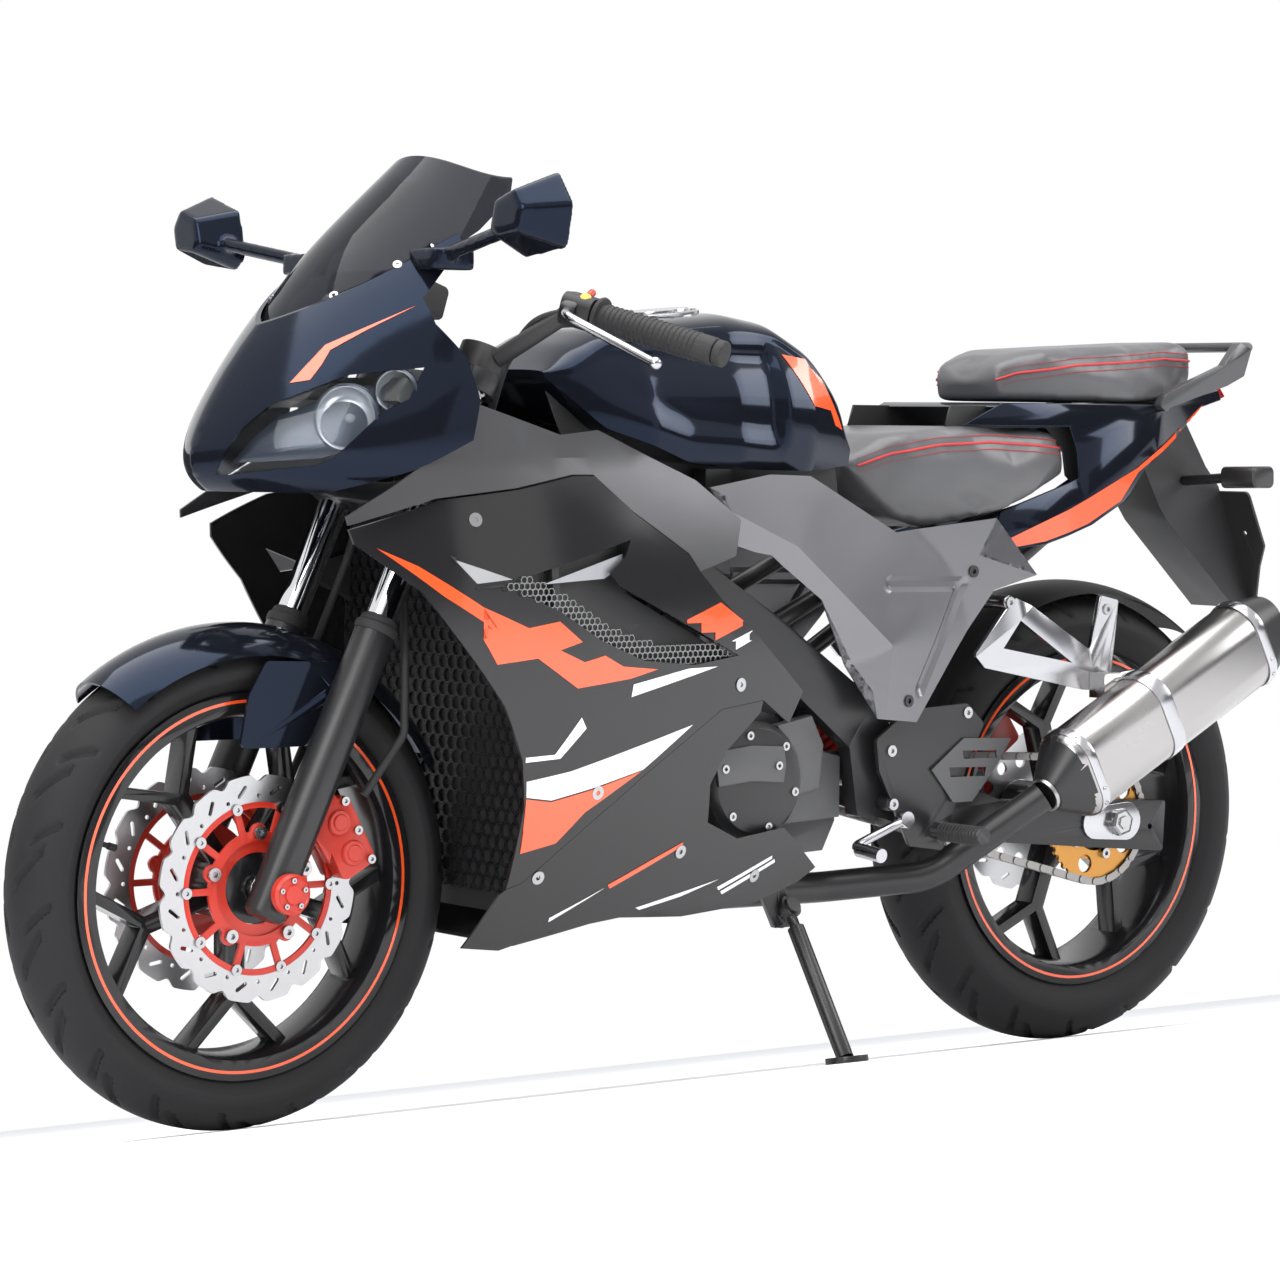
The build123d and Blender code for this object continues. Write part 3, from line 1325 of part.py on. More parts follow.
with BuildPart() as stand:
    add(stand_bar(-eye_half, eye_half, stand_eye_radius))
    add(along(tuple(stand_pivot + leg * 0.04), tuple(stand_pivot + leg * 0.16), 6.8))
    add(along(tuple(stand_pivot + leg * 0.13), tuple(stand_foot - leg * 0.03), stand_leg_radius))
    floor_up = (0, -sin(radians(lean)), cos(radians(lean)))
    with BuildSketch(Plane(origin=stand_foot, x_dir=(1, 0, 0), z_dir=floor_up)):
        Circle(27)
    extrude(amount=foot_thickness)
    add(stand_bar(-12, 12, pin_radius + 0.3), mode=Mode.SUBTRACT)
keep("side_stand", stand.part)
with BuildPart() as stand_bracket:
    add(stand_bar(-24, -eye_half - seam_gap, stand_eye_radius))
    add(stand_bar(eye_half + seam_gap, 12, pin_radius + 4))
    with BuildSketch(side_plane(bracket_plate_face)):
        with BuildLine():
            Polyline((553, 202), (584, 202), (640, 312), (585, 312), close=True)
        make_face()
    extrude(amount=bracket_plate_face - crankcase_half - fit_gap)
    add(stand_bar(-eye_half - seam_gap, eye_half + seam_gap, stand_eye_radius + seam_gap), mode=Mode.SUBTRACT)
    add(stand_bar(-20, 12, pin_radius))
keep("stand_bracket", less(stand_bracket.part, pieces["engine_covers"]))

# Leaning onto the stand: the floor then touches both crowns and the stand's foot
leaned = Location((0, 0, 0), (-lean, 0, 0))
placed = {name: part.moved(leaned) for name, part in pieces.items()}
boxes = [part.bounding_box() for part in placed.values()]
low = [min(getattr(b.min, axis) for b in boxes) for axis in "XYZ"]
high = [max(getattr(b.max, axis) for b in boxes) for axis in "XYZ"]
set_down = Location((-(low[0] + high[0]) / 2, -(low[1] + high[1]) / 2, -low[2]))
standing = set_down * leaned

os.makedirs("parts", exist_ok=True)
for name, part in pieces.items():
    stood = part.moved(standing)
    stood.label = name
    export_step(stood, f"parts/{name}.step")
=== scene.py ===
import json
import math
import bmesh
import bpy
import numpy as np
from mathutils import Matrix, Vector
from mathutils.bvhtree import BVHTree


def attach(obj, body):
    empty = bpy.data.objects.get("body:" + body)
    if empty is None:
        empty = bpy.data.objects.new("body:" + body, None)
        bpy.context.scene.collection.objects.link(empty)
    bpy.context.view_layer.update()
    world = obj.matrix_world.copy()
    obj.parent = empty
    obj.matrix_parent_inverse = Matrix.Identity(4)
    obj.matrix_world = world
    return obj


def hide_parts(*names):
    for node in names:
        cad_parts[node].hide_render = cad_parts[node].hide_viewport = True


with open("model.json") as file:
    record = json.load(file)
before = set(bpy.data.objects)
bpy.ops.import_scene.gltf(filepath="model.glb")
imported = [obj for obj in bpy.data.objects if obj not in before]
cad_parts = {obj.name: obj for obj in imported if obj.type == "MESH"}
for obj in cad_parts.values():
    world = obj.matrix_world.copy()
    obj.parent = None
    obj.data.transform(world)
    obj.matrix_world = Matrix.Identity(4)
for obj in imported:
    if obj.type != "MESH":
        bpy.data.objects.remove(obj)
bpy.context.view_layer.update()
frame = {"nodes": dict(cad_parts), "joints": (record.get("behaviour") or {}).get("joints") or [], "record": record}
print("frame loaded:", len(frame["nodes"]), "nodes")

# upright drawing frame: x forward from the rear axle, y left, z up from the floor
bike = {
    "wheelbase": 1.330,
    "rearRadius": 0.310,
    "frontRadius": 0.293,
    "rake": math.radians(25),
    "trail": 0.095,
}
joints = {joint["name"]: joint for joint in frame["joints"]}
wheelAxis = Vector(joints["rear_wheel_spin"]["axis"])
rearAxle = Vector(joints["rear_wheel_spin"]["pos_m"])
leanTurn = Matrix.Rotation(math.atan2(wheelAxis.z, wheelAxis.y), 4, "X")
toRow = Matrix.Translation(rearAxle - leanTurn @ Vector((0, 0, bike["rearRadius"]))) @ leanTurn
toBike = toRow.inverted()
frontCentre = Vector((bike["wheelbase"], 0, bike["frontRadius"]))
rearCentre = Vector((0, 0, bike["rearRadius"]))


def mm(x, y, z):
    return Vector((x, y, z)) * 0.001


def addObject(name, mesh):
    obj = bpy.data.objects.new(name, mesh)
    bpy.context.scene.collection.objects.link(obj)
    return obj


def meshFrom(name, verts, faces):
    mesh = bpy.data.meshes.new(name)
    mesh.from_pydata([tuple(v) for v in verts], [], faces)
    mesh.update()
    return mesh


def bakeModifiers(obj):
    graph = bpy.context.evaluated_depsgraph_get()
    mesh = bpy.data.meshes.new_from_object(obj.evaluated_get(graph), depsgraph=graph)
    old = obj.data
    obj.modifiers.clear()
    obj.data = mesh
    bpy.data.meshes.remove(old)
    return obj


def smoothByAngle(obj, degrees):
    mesh = obj.data
    for poly in mesh.polygons:
        poly.use_smooth = True
    mesh.set_sharp_from_angle(angle=math.radians(degrees))


def settle(obj, body, material, nodes=()):
    if material:
        obj.data.materials.clear()
        obj.data.materials.append(material)
    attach(obj, body)
    if nodes:
        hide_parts(*nodes)
    return obj


bodyOf = {}
for bodyName, nodeNames in frame["record"]["behaviour"]["bodies"].items():
    for nodeName in nodeNames:
        bodyOf[nodeName] = bodyName


def copyNode(node, name):
    # a CAD node's mesh is loose triangles, so the copy is merged and its flat faces joined
    mesh = frame["nodes"][node].data.copy()
    work = bmesh.new()
    work.from_mesh(mesh)
    bmesh.ops.remove_doubles(work, verts=work.verts, dist=1e-5)
    bmesh.ops.dissolve_limit(work, angle_limit=math.radians(0.6), verts=work.verts, edges=work.edges)
    work.to_mesh(mesh)
    work.free()
    return addObject(name, mesh)


def dress(node, material, bevel=0.0012, segments=2, degrees=30):
    obj = copyNode(node, node + "Skin")
    if bevel:
        edge = obj.modifiers.new("edge", "BEVEL")
        edge.width = bevel
        edge.segments = segments
        edge.limit_method = "ANGLE"
        edge.angle_limit = math.radians(degrees)
        edge.use_clamp_overlap = True
        edge.harden_normals = True
        bakeModifiers(obj)
    smoothByAngle(obj, degrees)
    return settle(obj, bodyOf[node], material, nodes=[node])


def addNode(tree, kind, **values):
    node = tree.nodes.new(kind)
    for key, value in values.items():
        setattr(node, key, value)
    return node


def startMaterial(name):
    material = bpy.data.materials.new(name)
    material.use_nodes = True
    tree = material.node_tree
    return material, tree, tree.nodes["Principled BSDF"]


def addNoise(tree, scale, detail):
    coords = addNode(tree, "ShaderNodeTexCoord")
    noise = addNode(tree, "ShaderNodeTexNoise")
    noise.inputs["Scale"].default_value = scale
    noise.inputs["Detail"].default_value = detail
    tree.links.new(coords.outputs["Object"], noise.inputs["Vector"])
    return noise


def varyGloss(tree, noise, low, high):
    gloss = addNode(tree, "ShaderNodeMapRange")
    gloss.inputs["To Min"].default_value = low
    gloss.inputs["To Max"].default_value = high
    tree.links.new(noise.outputs["Fac"], gloss.inputs["Value"])
    tree.links.new(gloss.outputs["Result"], tree.nodes["Principled BSDF"].inputs["Roughness"])


# one plain recipe for every finish: a base colour that varies a little, uneven gloss and a fine bump
def makeFinish(name, look):
    material, tree, shader = startMaterial(name)
    noise = addNoise(tree, look.get("patchScale", 9.0), 4.0)
    fine = addNoise(tree, look.get("grainScale", 260.0), 3.0)
    mix = addNode(tree, "ShaderNodeMix", data_type="RGBA")
    shade = look.get("shade", 0.8)
    colour = look["colour"]
    mix.inputs["A"].default_value = (*[c * shade for c in colour], 1)
    mix.inputs["B"].default_value = (*colour, 1)
    tree.links.new(noise.outputs["Fac"], mix.inputs["Factor"])
    tree.links.new(mix.outputs["Result"], shader.inputs["Base Color"])
    rough = look["rough"]
    spread = look.get("roughSpread", 0.06)
    glossNoise = noise if look.get("softGloss", True) else fine
    varyGloss(tree, glossNoise, max(0.0, rough - spread), rough + spread)
    shader.inputs["Metallic"].default_value = look.get("metallic", 0.0)
    shader.inputs["Coat Weight"].default_value = look.get("coat", 0.0)
    shader.inputs["Coat Roughness"].default_value = 0.03
    shader.inputs["Specular IOR Level"].default_value = look.get("specular", 0.5)
    # the specular tint colours every reflection; on gloss black it paints a blue sky reflection
    shader.inputs["Specular Tint"].default_value = (*look.get("paintedSkyTint", (1, 1, 1)), 1)
    if "bump" in look:
        bump = addNode(tree, "ShaderNodeBump")
        bump.inputs["Strength"].default_value = look["bump"]
        bump.inputs["Distance"].default_value = look.get("bumpDepth", 0.0004)
        tree.links.new(fine.outputs["Fac"], bump.inputs["Height"])
        tree.links.new(bump.outputs["Normal"], shader.inputs["Normal"])
    return material


def makeGlass(name, colour, rough, cover):
    # clear plastic: transmission, with some of it covered by its own colour
    material, tree, shader = startMaterial(name)
    varyGloss(tree, addNoise(tree, 14.0, 2.0), rough, rough + 0.03)
    shader.inputs["Base Color"].default_value = (*colour, 1)
    shader.inputs["Transmission Weight"].default_value = 1.0 - cover
    shader.inputs["IOR"].default_value = 1.2
    return material


def makePlain(name, colour, rough, specular):
    material, _, shader = startMaterial(name)
    shader.inputs["Base Color"].default_value = (*colour, 1)
    shader.inputs["Roughness"].default_value = rough
    shader.inputs["Specular IOR Level"].default_value = specular
    return material


finishes = {
    # gloss black's blue specular tint is a painted sky reflection: its reflections of the white world turn blue
    "glossBlack": {"colour": (0.007, 0.008, 0.012), "rough": 0.1, "roughSpread": 0.03, "specular": 0.4,
                   "patchScale": 3.0, "paintedSkyTint": (0.26, 0.37, 0.62)},
    "panelBlack": {"colour": (0.016, 0.016, 0.017), "rough": 0.16, "roughSpread": 0.03, "specular": 0.5,
                   "patchScale": 3.0},
    "reflectorSilver": {"colour": (0.8, 0.82, 0.85), "rough": 0.16, "metallic": 0.7},
    "grayLight": {"colour": (0.42, 0.43, 0.45), "rough": 0.35, "metallic": 0.5, "bump": 0.05,
                  "grainScale": 900},
    "meshSteel": {"colour": (0.3, 0.3, 0.3), "rough": 0.35, "metallic": 1.0, "grainScale": 900},
    "lampShade": {"colour": (0.035, 0.045, 0.065), "rough": 0.18, "specular": 0.5, "metallic": 0.3},
    "indicatorLens": {"colour": (0.36, 0.36, 0.37), "rough": 0.12, "coat": 0.5, "bump": 0.3,
                      "grainScale": 240},
    "railGray": {"colour": (0.1, 0.1, 0.105), "rough": 0.3, "metallic": 0.7, "bump": 0.06,
                 "grainScale": 700},
    "darkLens": {"colour": (0.03, 0.018, 0.012), "rough": 0.14, "specular": 0.5, "bump": 0.1,
                 "grainScale": 300},
    "discSteel": {"colour": (0.5, 0.5, 0.51), "rough": 0.3, "metallic": 1.0, "bump": 0.12,
                  "grainScale": 700},
    "grayPanel": {"colour": (0.19, 0.19, 0.2), "rough": 0.34, "metallic": 0.85, "shade": 0.92, "bump": 0.08,
                  "grainScale": 900},
    # a darker copy of grayPanel for the inner panels: painted shade standing in for their shaded lower facet
    "shadedInnerGray": {"colour": (0.1, 0.1, 0.106), "rough": 0.34, "metallic": 0.85, "shade": 0.92, "bump": 0.08,
                  "grainScale": 900},
    "mattBlack": {"colour": (0.016, 0.016, 0.017), "rough": 0.55, "bump": 0.18, "grainScale": 700,
                  "softGloss": False},
    "satinBlack": {"colour": (0.014, 0.014, 0.015), "rough": 0.36, "bump": 0.05, "grainScale": 500},
    "tyreRubber": {"colour": (0.013, 0.013, 0.014), "rough": 0.68, "specular": 0.3, "bump": 0.25,
                   "grainScale": 420, "shade": 0.7},
    "rimBlack": {"colour": (0.010, 0.010, 0.011), "rough": 0.2, "specular": 0.45},
    "castGray": {"colour": (0.125, 0.125, 0.13), "rough": 0.5, "metallic": 0.7, "bump": 0.35,
                 "grainScale": 600},
    "polishedAlloy": {"colour": (0.5, 0.5, 0.52), "rough": 0.22, "metallic": 1.0, "bump": 0.03,
                      "grainScale": 300},
    "brushedSteel": {"colour": (0.4, 0.39, 0.385), "rough": 0.26, "metallic": 1.0, "bump": 0.06,
                     "grainScale": 800},
    "chrome": {"colour": (0.82, 0.82, 0.84), "rough": 0.06, "roughSpread": 0.03, "metallic": 1.0},
    "redPaint": {"colour": (0.52, 0.03, 0.015), "rough": 0.34, "bump": 0.05, "grainScale": 500,
                 "shade": 0.9},
    "goldSteel": {"colour": (0.55, 0.27, 0.07), "rough": 0.35, "metallic": 0.9, "bump": 0.05,
                  "grainScale": 500},
    "orangeStripe": {"colour": (0.85, 0.09, 0.018), "rough": 0.2, "coat": 0.8, "shade": 0.94},
    "whiteStripe": {"colour": (0.8, 0.8, 0.8), "rough": 0.2, "coat": 0.8, "shade": 0.95},
    "gripRubber": {"colour": (0.017, 0.017, 0.018), "rough": 0.68, "bump": 0.3, "grainScale": 800},
    "seatVinyl": {"colour": (0.085, 0.085, 0.09), "rough": 0.36, "shade": 0.95, "bump": 0.4,
                  "grainScale": 620, "bumpDepth": 0.0003},
    "redThread": {"colour": (0.5, 0.03, 0.03), "rough": 0.6, "bump": 0.4, "grainScale": 1500},
    "mirrorGlass": {"colour": (0.85, 0.87, 0.9), "rough": 0.02, "roughSpread": 0.01, "metallic": 1.0},
    "linkSteel": {"colour": (0.32, 0.31, 0.3), "rough": 0.38, "metallic": 1.0, "bump": 0.1,
                  "grainScale": 900},
    "boltSteel": {"colour": (0.45, 0.45, 0.46), "rough": 0.25, "metallic": 1.0, "grainScale": 900},
    "yellowKnob": {"colour": (0.75, 0.42, 0.02), "rough": 0.4},
}
mat = {name: makeFinish(name, look) for name, look in finishes.items()}
mat["smokedScreen"] = makeGlass("smokedScreen", (0.03, 0.032, 0.04), 0.02, 0.35)
mat["bulbGlass"] = makeGlass("bulbGlass", (0.95, 0.96, 1.0), 0.02, 0.25)
mat["clearLens"] = makeGlass("clearLens", (0.93, 0.95, 0.97), 0.01, 0.0)
mat["redLens"] = makeGlass("redLens", (0.5, 0.02, 0.02), 0.03, 0.3)
print("finishes:", len(mat))


def faceOut(obj, merge=1e-6):
    work = bmesh.new()
    work.from_mesh(obj.data)
    bmesh.ops.remove_doubles(work, verts=work.verts, dist=merge)
    bmesh.ops.recalc_face_normals(work, faces=work.faces)
    work.to_mesh(obj.data)
    work.free()


def ringFaces(steps, count):
    # quads between closed rows of points, the last row joined to the first
    faces = []
    for step in range(steps):
        row = step * count
        nextRow = (step + 1) % steps * count
        for spot in range(count):
            nextSpot = (spot + 1) % count
            faces.append((row + spot, row + nextSpot, nextRow + nextSpot, nextRow + spot))
    return faces


def solidFrom(name, verts, faces, degrees):
    obj = addObject(name, meshFrom(name, verts, faces))
    faceOut(obj)
    smoothByAngle(obj, degrees)
    return obj


def workToObject(work, name):
    mesh = bpy.data.meshes.new(name)
    work.to_mesh(mesh)
    work.free()
    return addObject(name, mesh)


def turnFaces(work, out):
    for face in work.faces:
        face.normal_update()
        if face.normal.dot(out) < 0:
            face.normal_flip()


def curveToObject(name, curve, turn):
    source = addObject(name + "Curve", curve)
    graph = bpy.context.evaluated_depsgraph_get()
    mesh = bpy.data.meshes.new_from_object(source.evaluated_get(graph), depsgraph=graph)
    bpy.data.objects.remove(source)
    mesh.transform(turn)
    mesh.name = name
    return addObject(name, mesh)


sideView = Matrix(((1, 0, 0, 0), (0, 0, -1, 0), (0, 1, 0, 0), (0, 0, 0, 1)))


def plate(name, outlines, across, thickness, soft=0.0):
    # side outlines (x, z); the first is the edge and the rest are holes
    curve = bpy.data.curves.new(name, "CURVE")
    curve.dimensions = "2D"
    curve.fill_mode = "BOTH"
    curve.extrude = thickness / 2 - soft
    curve.bevel_depth = soft
    curve.bevel_resolution = 1
    curve.offset = -soft
    for outline in outlines:
        spline = curve.splines.new("POLY")
        spline.points.add(len(outline) - 1)
        for point, (x, z) in zip(spline.points, outline):
            point.co = (x, z, 0, 1)
        spline.use_cyclic_u = True
    obj = curveToObject(name, curve, Matrix.Translation((0, across, 0)) @ sideView)
    faceOut(obj)
    return obj


def joinMeshes(name, parts):
    work = bmesh.new()
    for part in parts:
        work.from_mesh(part.data)
    mesh = bpy.data.meshes.new(name)
    work.to_mesh(mesh)
    work.free()
    for part in parts:
        bpy.data.objects.remove(part)
    return addObject(name, mesh)


def mirrored(obj, name):
    mesh = obj.data.copy()
    mesh.transform(Matrix.Scale(-1, 4, (0, 1, 0)))
    mesh.flip_normals()
    return addObject(name, mesh)


def tube(name, points, radius):
    # a round run through points in metres
    curve = bpy.data.curves.new(name, "CURVE")
    curve.dimensions = "3D"
    curve.bevel_depth = radius
    curve.bevel_resolution = 3
    curve.use_fill_caps = True
    curve.resolution_u = 8
    spline = curve.splines.new("NURBS")
    spline.points.add(len(points) - 1)
    for point, spot in zip(spline.points, points):
        point.co = (*spot, 1)
    spline.order_u = 3
    spline.use_endpoint_u = True
    obj = curveToObject(name, curve, Matrix())
    smoothByAngle(obj, 50)
    return obj


# Geometry Nodes: one shape set on many spots, each with its own aim and side
def spotTree(name, sizes, drawShape):
    tree = bpy.data.node_groups.new(name, "GeometryNodeTree")
    link = tree.links.new
    tree.interface.new_socket("Geometry", in_out="INPUT", socket_type="NodeSocketGeometry")
    tree.interface.new_socket("Geometry", in_out="OUTPUT", socket_type="NodeSocketGeometry")
    for label, value in sizes.items():
        socket = tree.interface.new_socket(label, in_out="INPUT", socket_type="NodeSocketFloat")
        socket.default_value = value
    tree.interface.new_socket("Finish", in_out="INPUT", socket_type="NodeSocketMaterial")
    given = addNode(tree, "NodeGroupInput")
    result = addNode(tree, "NodeGroupOutput")
    points = addNode(tree, "GeometryNodeMeshToPoints")
    copies = addNode(tree, "GeometryNodeInstanceOnPoints")
    axes = addNode(tree, "FunctionNodeAxesToRotation", primary_axis="Z", secondary_axis="X")
    real = addNode(tree, "GeometryNodeRealizeInstances")
    paint = addNode(tree, "GeometryNodeSetMaterial")
    for label, axis in (("aim", "Primary Axis"), ("side", "Secondary Axis")):
        layer = addNode(tree, "GeometryNodeInputNamedAttribute", data_type="FLOAT_VECTOR")
        layer.inputs["Name"].default_value = label
        link(layer.outputs["Attribute"], axes.inputs[axis])
    link(given.outputs["Geometry"], points.inputs["Mesh"])
    link(points.outputs["Points"], copies.inputs["Points"])
    link(axes.outputs["Rotation"], copies.inputs["Rotation"])
    link(drawShape(tree, given), copies.inputs["Instance"])
    link(copies.outputs["Instances"], real.inputs["Geometry"])
    link(real.outputs["Geometry"], paint.inputs["Geometry"])
    link(given.outputs["Finish"], paint.inputs["Material"])
    link(paint.outputs["Geometry"], result.inputs["Geometry"])
    return tree


def setSpots(name, spots, tree, sizes, finish):
    # spots: place, aim and side of each copy, in the upright frame
    mesh = bpy.data.meshes.new(name)
    mesh.from_pydata([tuple(spot[0]) for spot in spots], [], [])
    for label, column in (("aim", 1), ("side", 2)):
        layer = mesh.attributes.new(label, "FLOAT_VECTOR", "POINT")
        for item, spot in zip(layer.data, spots):
            item.vector = spot[column]
    obj = addObject(name, mesh)
    modifier = obj.modifiers.new("spots", "NODES")
    modifier.node_group = tree
    for item in tree.interface.items_tree:
        if item.in_out == "INPUT" and item.name in sizes:
            modifier[item.identifier] = sizes[item.name]
        if item.in_out == "INPUT" and item.name == "Finish":
            modifier[item.identifier] = finish
    bakeModifiers(obj)
    smoothByAngle(obj, 35)
    return obj


def shiftBy(tree, size, axis, share, shape):
    # the shape moved along an axis by a share of that size
    part = addNode(tree, "ShaderNodeMath", operation="MULTIPLY")
    part.inputs[1].default_value = share
    offset = addNode(tree, "ShaderNodeCombineXYZ")
    shift = addNode(tree, "GeometryNodeTransform")
    tree.links.new(size, part.inputs[0])
    tree.links.new(part.outputs[0], offset.inputs[axis])
    tree.links.new(offset.outputs[0], shift.inputs["Translation"])
    tree.links.new(shape, shift.inputs["Geometry"])
    return shift.outputs["Geometry"]


def addRod(tree, sides, radius, depth):
    rod = addNode(tree, "GeometryNodeMeshCylinder")
    rod.inputs["Vertices"].default_value = sides
    tree.links.new(radius, rod.inputs["Radius"])
    tree.links.new(depth, rod.inputs["Depth"])
    return rod.outputs["Mesh"]


def sweepAlong(tree, path, profile):
    swept = addNode(tree, "GeometryNodeCurveToMesh")
    tree.links.new(path, swept.inputs["Curve"])
    tree.links.new(profile, swept.inputs["Profile Curve"])
    return swept.outputs["Mesh"]


def drawBolt(tree, given):
    # round head with a six-sided socket
    height = given.outputs["Head Height"]
    head = addRod(tree, 18, given.outputs["Head Radius"], height)
    socketHole = addRod(tree, 6, given.outputs["Socket Radius"], height)
    cut = addNode(tree, "GeometryNodeMeshBoolean", operation="DIFFERENCE", solver="EXACT")
    tree.links.new(head, cut.inputs["Mesh 1"])
    tree.links.new(shiftBy(tree, height, "Z", 0.5, socketHole), cut.inputs["Mesh 2"])
    return cut.outputs["Mesh"]


def drawCell(tree, given):
    # one open six-sided cell of a mesh
    ring = addNode(tree, "GeometryNodeMeshCircle")
    ring.inputs["Vertices"].default_value = 6
    path = addNode(tree, "GeometryNodeMeshToCurve")
    wire = addNode(tree, "GeometryNodeCurvePrimitiveQuadrilateral")
    tree.links.new(given.outputs["Cell Radius"], ring.inputs["Radius"])
    tree.links.new(ring.outputs["Mesh"], path.inputs["Mesh"])
    tree.links.new(given.outputs["Wall"], wire.inputs["Width"])
    tree.links.new(given.outputs["Depth"], wire.inputs["Height"])
    return sweepAlong(tree, path.outputs["Curve"], wire.outputs["Curve"])


def drawRing(tree, given):
    # a round bead, for ribs
    circles = []
    for label, sides in (("Ring Radius", 28), ("Bead Radius", 8)):
        circle = addNode(tree, "GeometryNodeCurvePrimitiveCircle")
        circle.inputs["Resolution"].default_value = sides
        tree.links.new(given.outputs[label], circle.inputs["Radius"])
        circles.append(circle.outputs["Curve"])
    return sweepAlong(tree, *circles)


def drawStitch(tree, given):
    # a short thread lying along the side axis
    turn = addNode(tree, "GeometryNodeTransform")
    turn.inputs["Rotation"].default_value = (0, math.pi / 2, 0)
    thread = addRod(tree, 6, given.outputs["Thread Radius"], given.outputs["Length"])
    tree.links.new(thread, turn.inputs["Geometry"])
    return turn.outputs["Geometry"]


boltTree = spotTree("bolts", {"Head Radius": 0.006, "Head Height": 0.005, "Socket Radius": 0.003}, drawBolt)
cellTree = spotTree("meshCells", {"Cell Radius": 0.005, "Wall": 0.001, "Depth": 0.002}, drawCell)
ringTree = spotTree("ribs", {"Ring Radius": 0.017, "Bead Radius": 0.0012}, drawRing)
stitchTree = spotTree("stitches", {"Length": 0.004, "Thread Radius": 0.0006}, drawStitch)
across = Vector((0, 1, 0))
forward = Vector((1, 0, 0))
print("node trees built")


def turned(name, origin, axis, profile, steps, seam=None):
    # profile: radius and distance along the axis, in metres, turned about that axis
    up = Vector(axis).normalized()
    first = Vector(seam).normalized() if seam else up.orthogonal().normalized()
    second = up.cross(first)
    verts = []
    for step in range(steps):
        angle = 2 * math.pi * step / steps
        spoke = first * math.cos(angle) + second * math.sin(angle)
        for radius, along in profile:
            verts.append(Vector(origin) + spoke * radius + up * along)
    return solidFrom(name, verts, ringFaces(steps, len(profile)), 34)


def surfaceOf(nodes):
    # the nodes' surfaces in the upright frame, for laying things on them
    verts, faces = [], []
    for node in nodes:
        mesh = frame["nodes"][node].data
        start = len(verts)
        verts += [toBike @ vertex.co for vertex in mesh.vertices]
        faces += [[start + index for index in poly.vertices] for poly in mesh.polygons]
    return BVHTree.FromPolygons(verts, faces)


sideLeft = {"right": Vector((1, 0, 0)), "out": Vector((0, 1, 0))}
sideRight = {"right": Vector((1, 0, 0)), "out": Vector((0, -1, 0))}
lampTurn = math.radians(37.4)
noseLeft = {
    "right": Vector((-math.cos(lampTurn), math.sin(lampTurn), 0)),
    "out": Vector((math.sin(lampTurn), math.cos(lampTurn), 0)),
}
laying = {"start": 1.5, "nearest": 0.02, "cell": 0.012}


def inView(view, u, v):
    return view["right"] * (u * 0.001) + Vector((0, 0, v * 0.001))


def cutAt(work, spot, aim):
    everything = work.verts[:] + work.edges[:] + work.faces[:]
    bmesh.ops.bisect_plane(work, geom=everything, plane_co=spot, plane_no=aim, dist=1e-6)


def fillOutline(outline, view, cell):
    # a flat filled outline in millimetres of that view, cut into small cells
    work = bmesh.new()
    face = work.faces.new([work.verts.new(inView(view, u, v)) for u, v in outline])
    bmesh.ops.triangulate(work, faces=[face])
    for axis in (view["right"], Vector((0, 0, 1))):
        along = [axis.dot(vert.co) for vert in work.verts]
        travel = math.floor(min(along) / cell) * cell + cell
        while travel < max(along):
            cutAt(work, axis * travel, axis)
            travel += cell
    return work


def castOn(surface, view, spot):
    # where the line of sight meets the surface, with the normal turned to the viewer
    hit, normal, _, _ = surface.ray_cast(spot + view["out"] * laying["start"], -view["out"])
    if hit is None or hit.dot(view["out"]) < laying["nearest"]:
        return None, None
    return hit, -normal if normal.dot(view["out"]) < 0 else normal


def onSurface(surface, view, spots):
    # spots in millimetres of that view, stood on the surface and aimed along its normal
    found = []
    for u, v in spots:
        hit, normal = castOn(surface, view, inView(view, u, v))
        if hit is not None:
            found.append((hit, normal, Vector((0, 0, 1)).cross(normal).normalized()))
    return found


def patch(name, outline, target, view, lift=0.0004, thick=0.0005):
    # a thin painted film laid on a surface as seen in that view
    work = fillOutline(outline, view, laying["cell"])
    lost = []
    for vert in work.verts:
        hit, normal = castOn(target, view, vert.co)
        if hit is not None:
            vert.co = hit + normal * lift
        else:
            lost.append(vert)
    bmesh.ops.delete(work, geom=lost, context="VERTS")
    turnFaces(work, view["out"])
    obj = workToObject(work, name)
    film = obj.modifiers.new("film", "SOLIDIFY")
    film.thickness = thick
    film.offset = 1
    bakeModifiers(obj)
    smoothByAngle(obj, 40)
    return obj


def meshSurface(obj):
    # the surface of a piece that still stands upright
    verts = [vertex.co.copy() for vertex in obj.data.vertices]
    return BVHTree.FromPolygons(verts, [list(poly.vertices) for poly in obj.data.polygons])


def bothSides(obj):
    # the piece and its mirror image, as one mesh
    twin = mirrored(obj, obj.name + "Twin")
    return joinMeshes(obj.name, [obj, twin])


def place(obj, node, material, nodes=()):
    # lean the finished piece with the machine and set it on its node's body
    obj.data.transform(toRow)
    return settle(obj, bodyOf[node], material, nodes=nodes)


def setBolts(name, spots, head, node, finish="boltSteel"):
    # head: its radius, its height and the radius of its socket
    sizes = dict(zip(("Head Radius", "Head Height", "Socket Radius"), head))
    return place(setSpots(name, spots, boltTree, sizes, mat[finish]), node, None)


def arcPoints(centre, radius, start, end, count):
    angles = [math.radians(start + (end - start) * step / (count - 1)) for step in range(count)]
    return [(centre[0] + radius * math.cos(angle), centre[1] + radius * math.sin(angle))
            for angle in angles]


def spokeAt(degrees):
    angle = math.radians(degrees)
    return Vector((math.cos(angle), 0, math.sin(angle)))


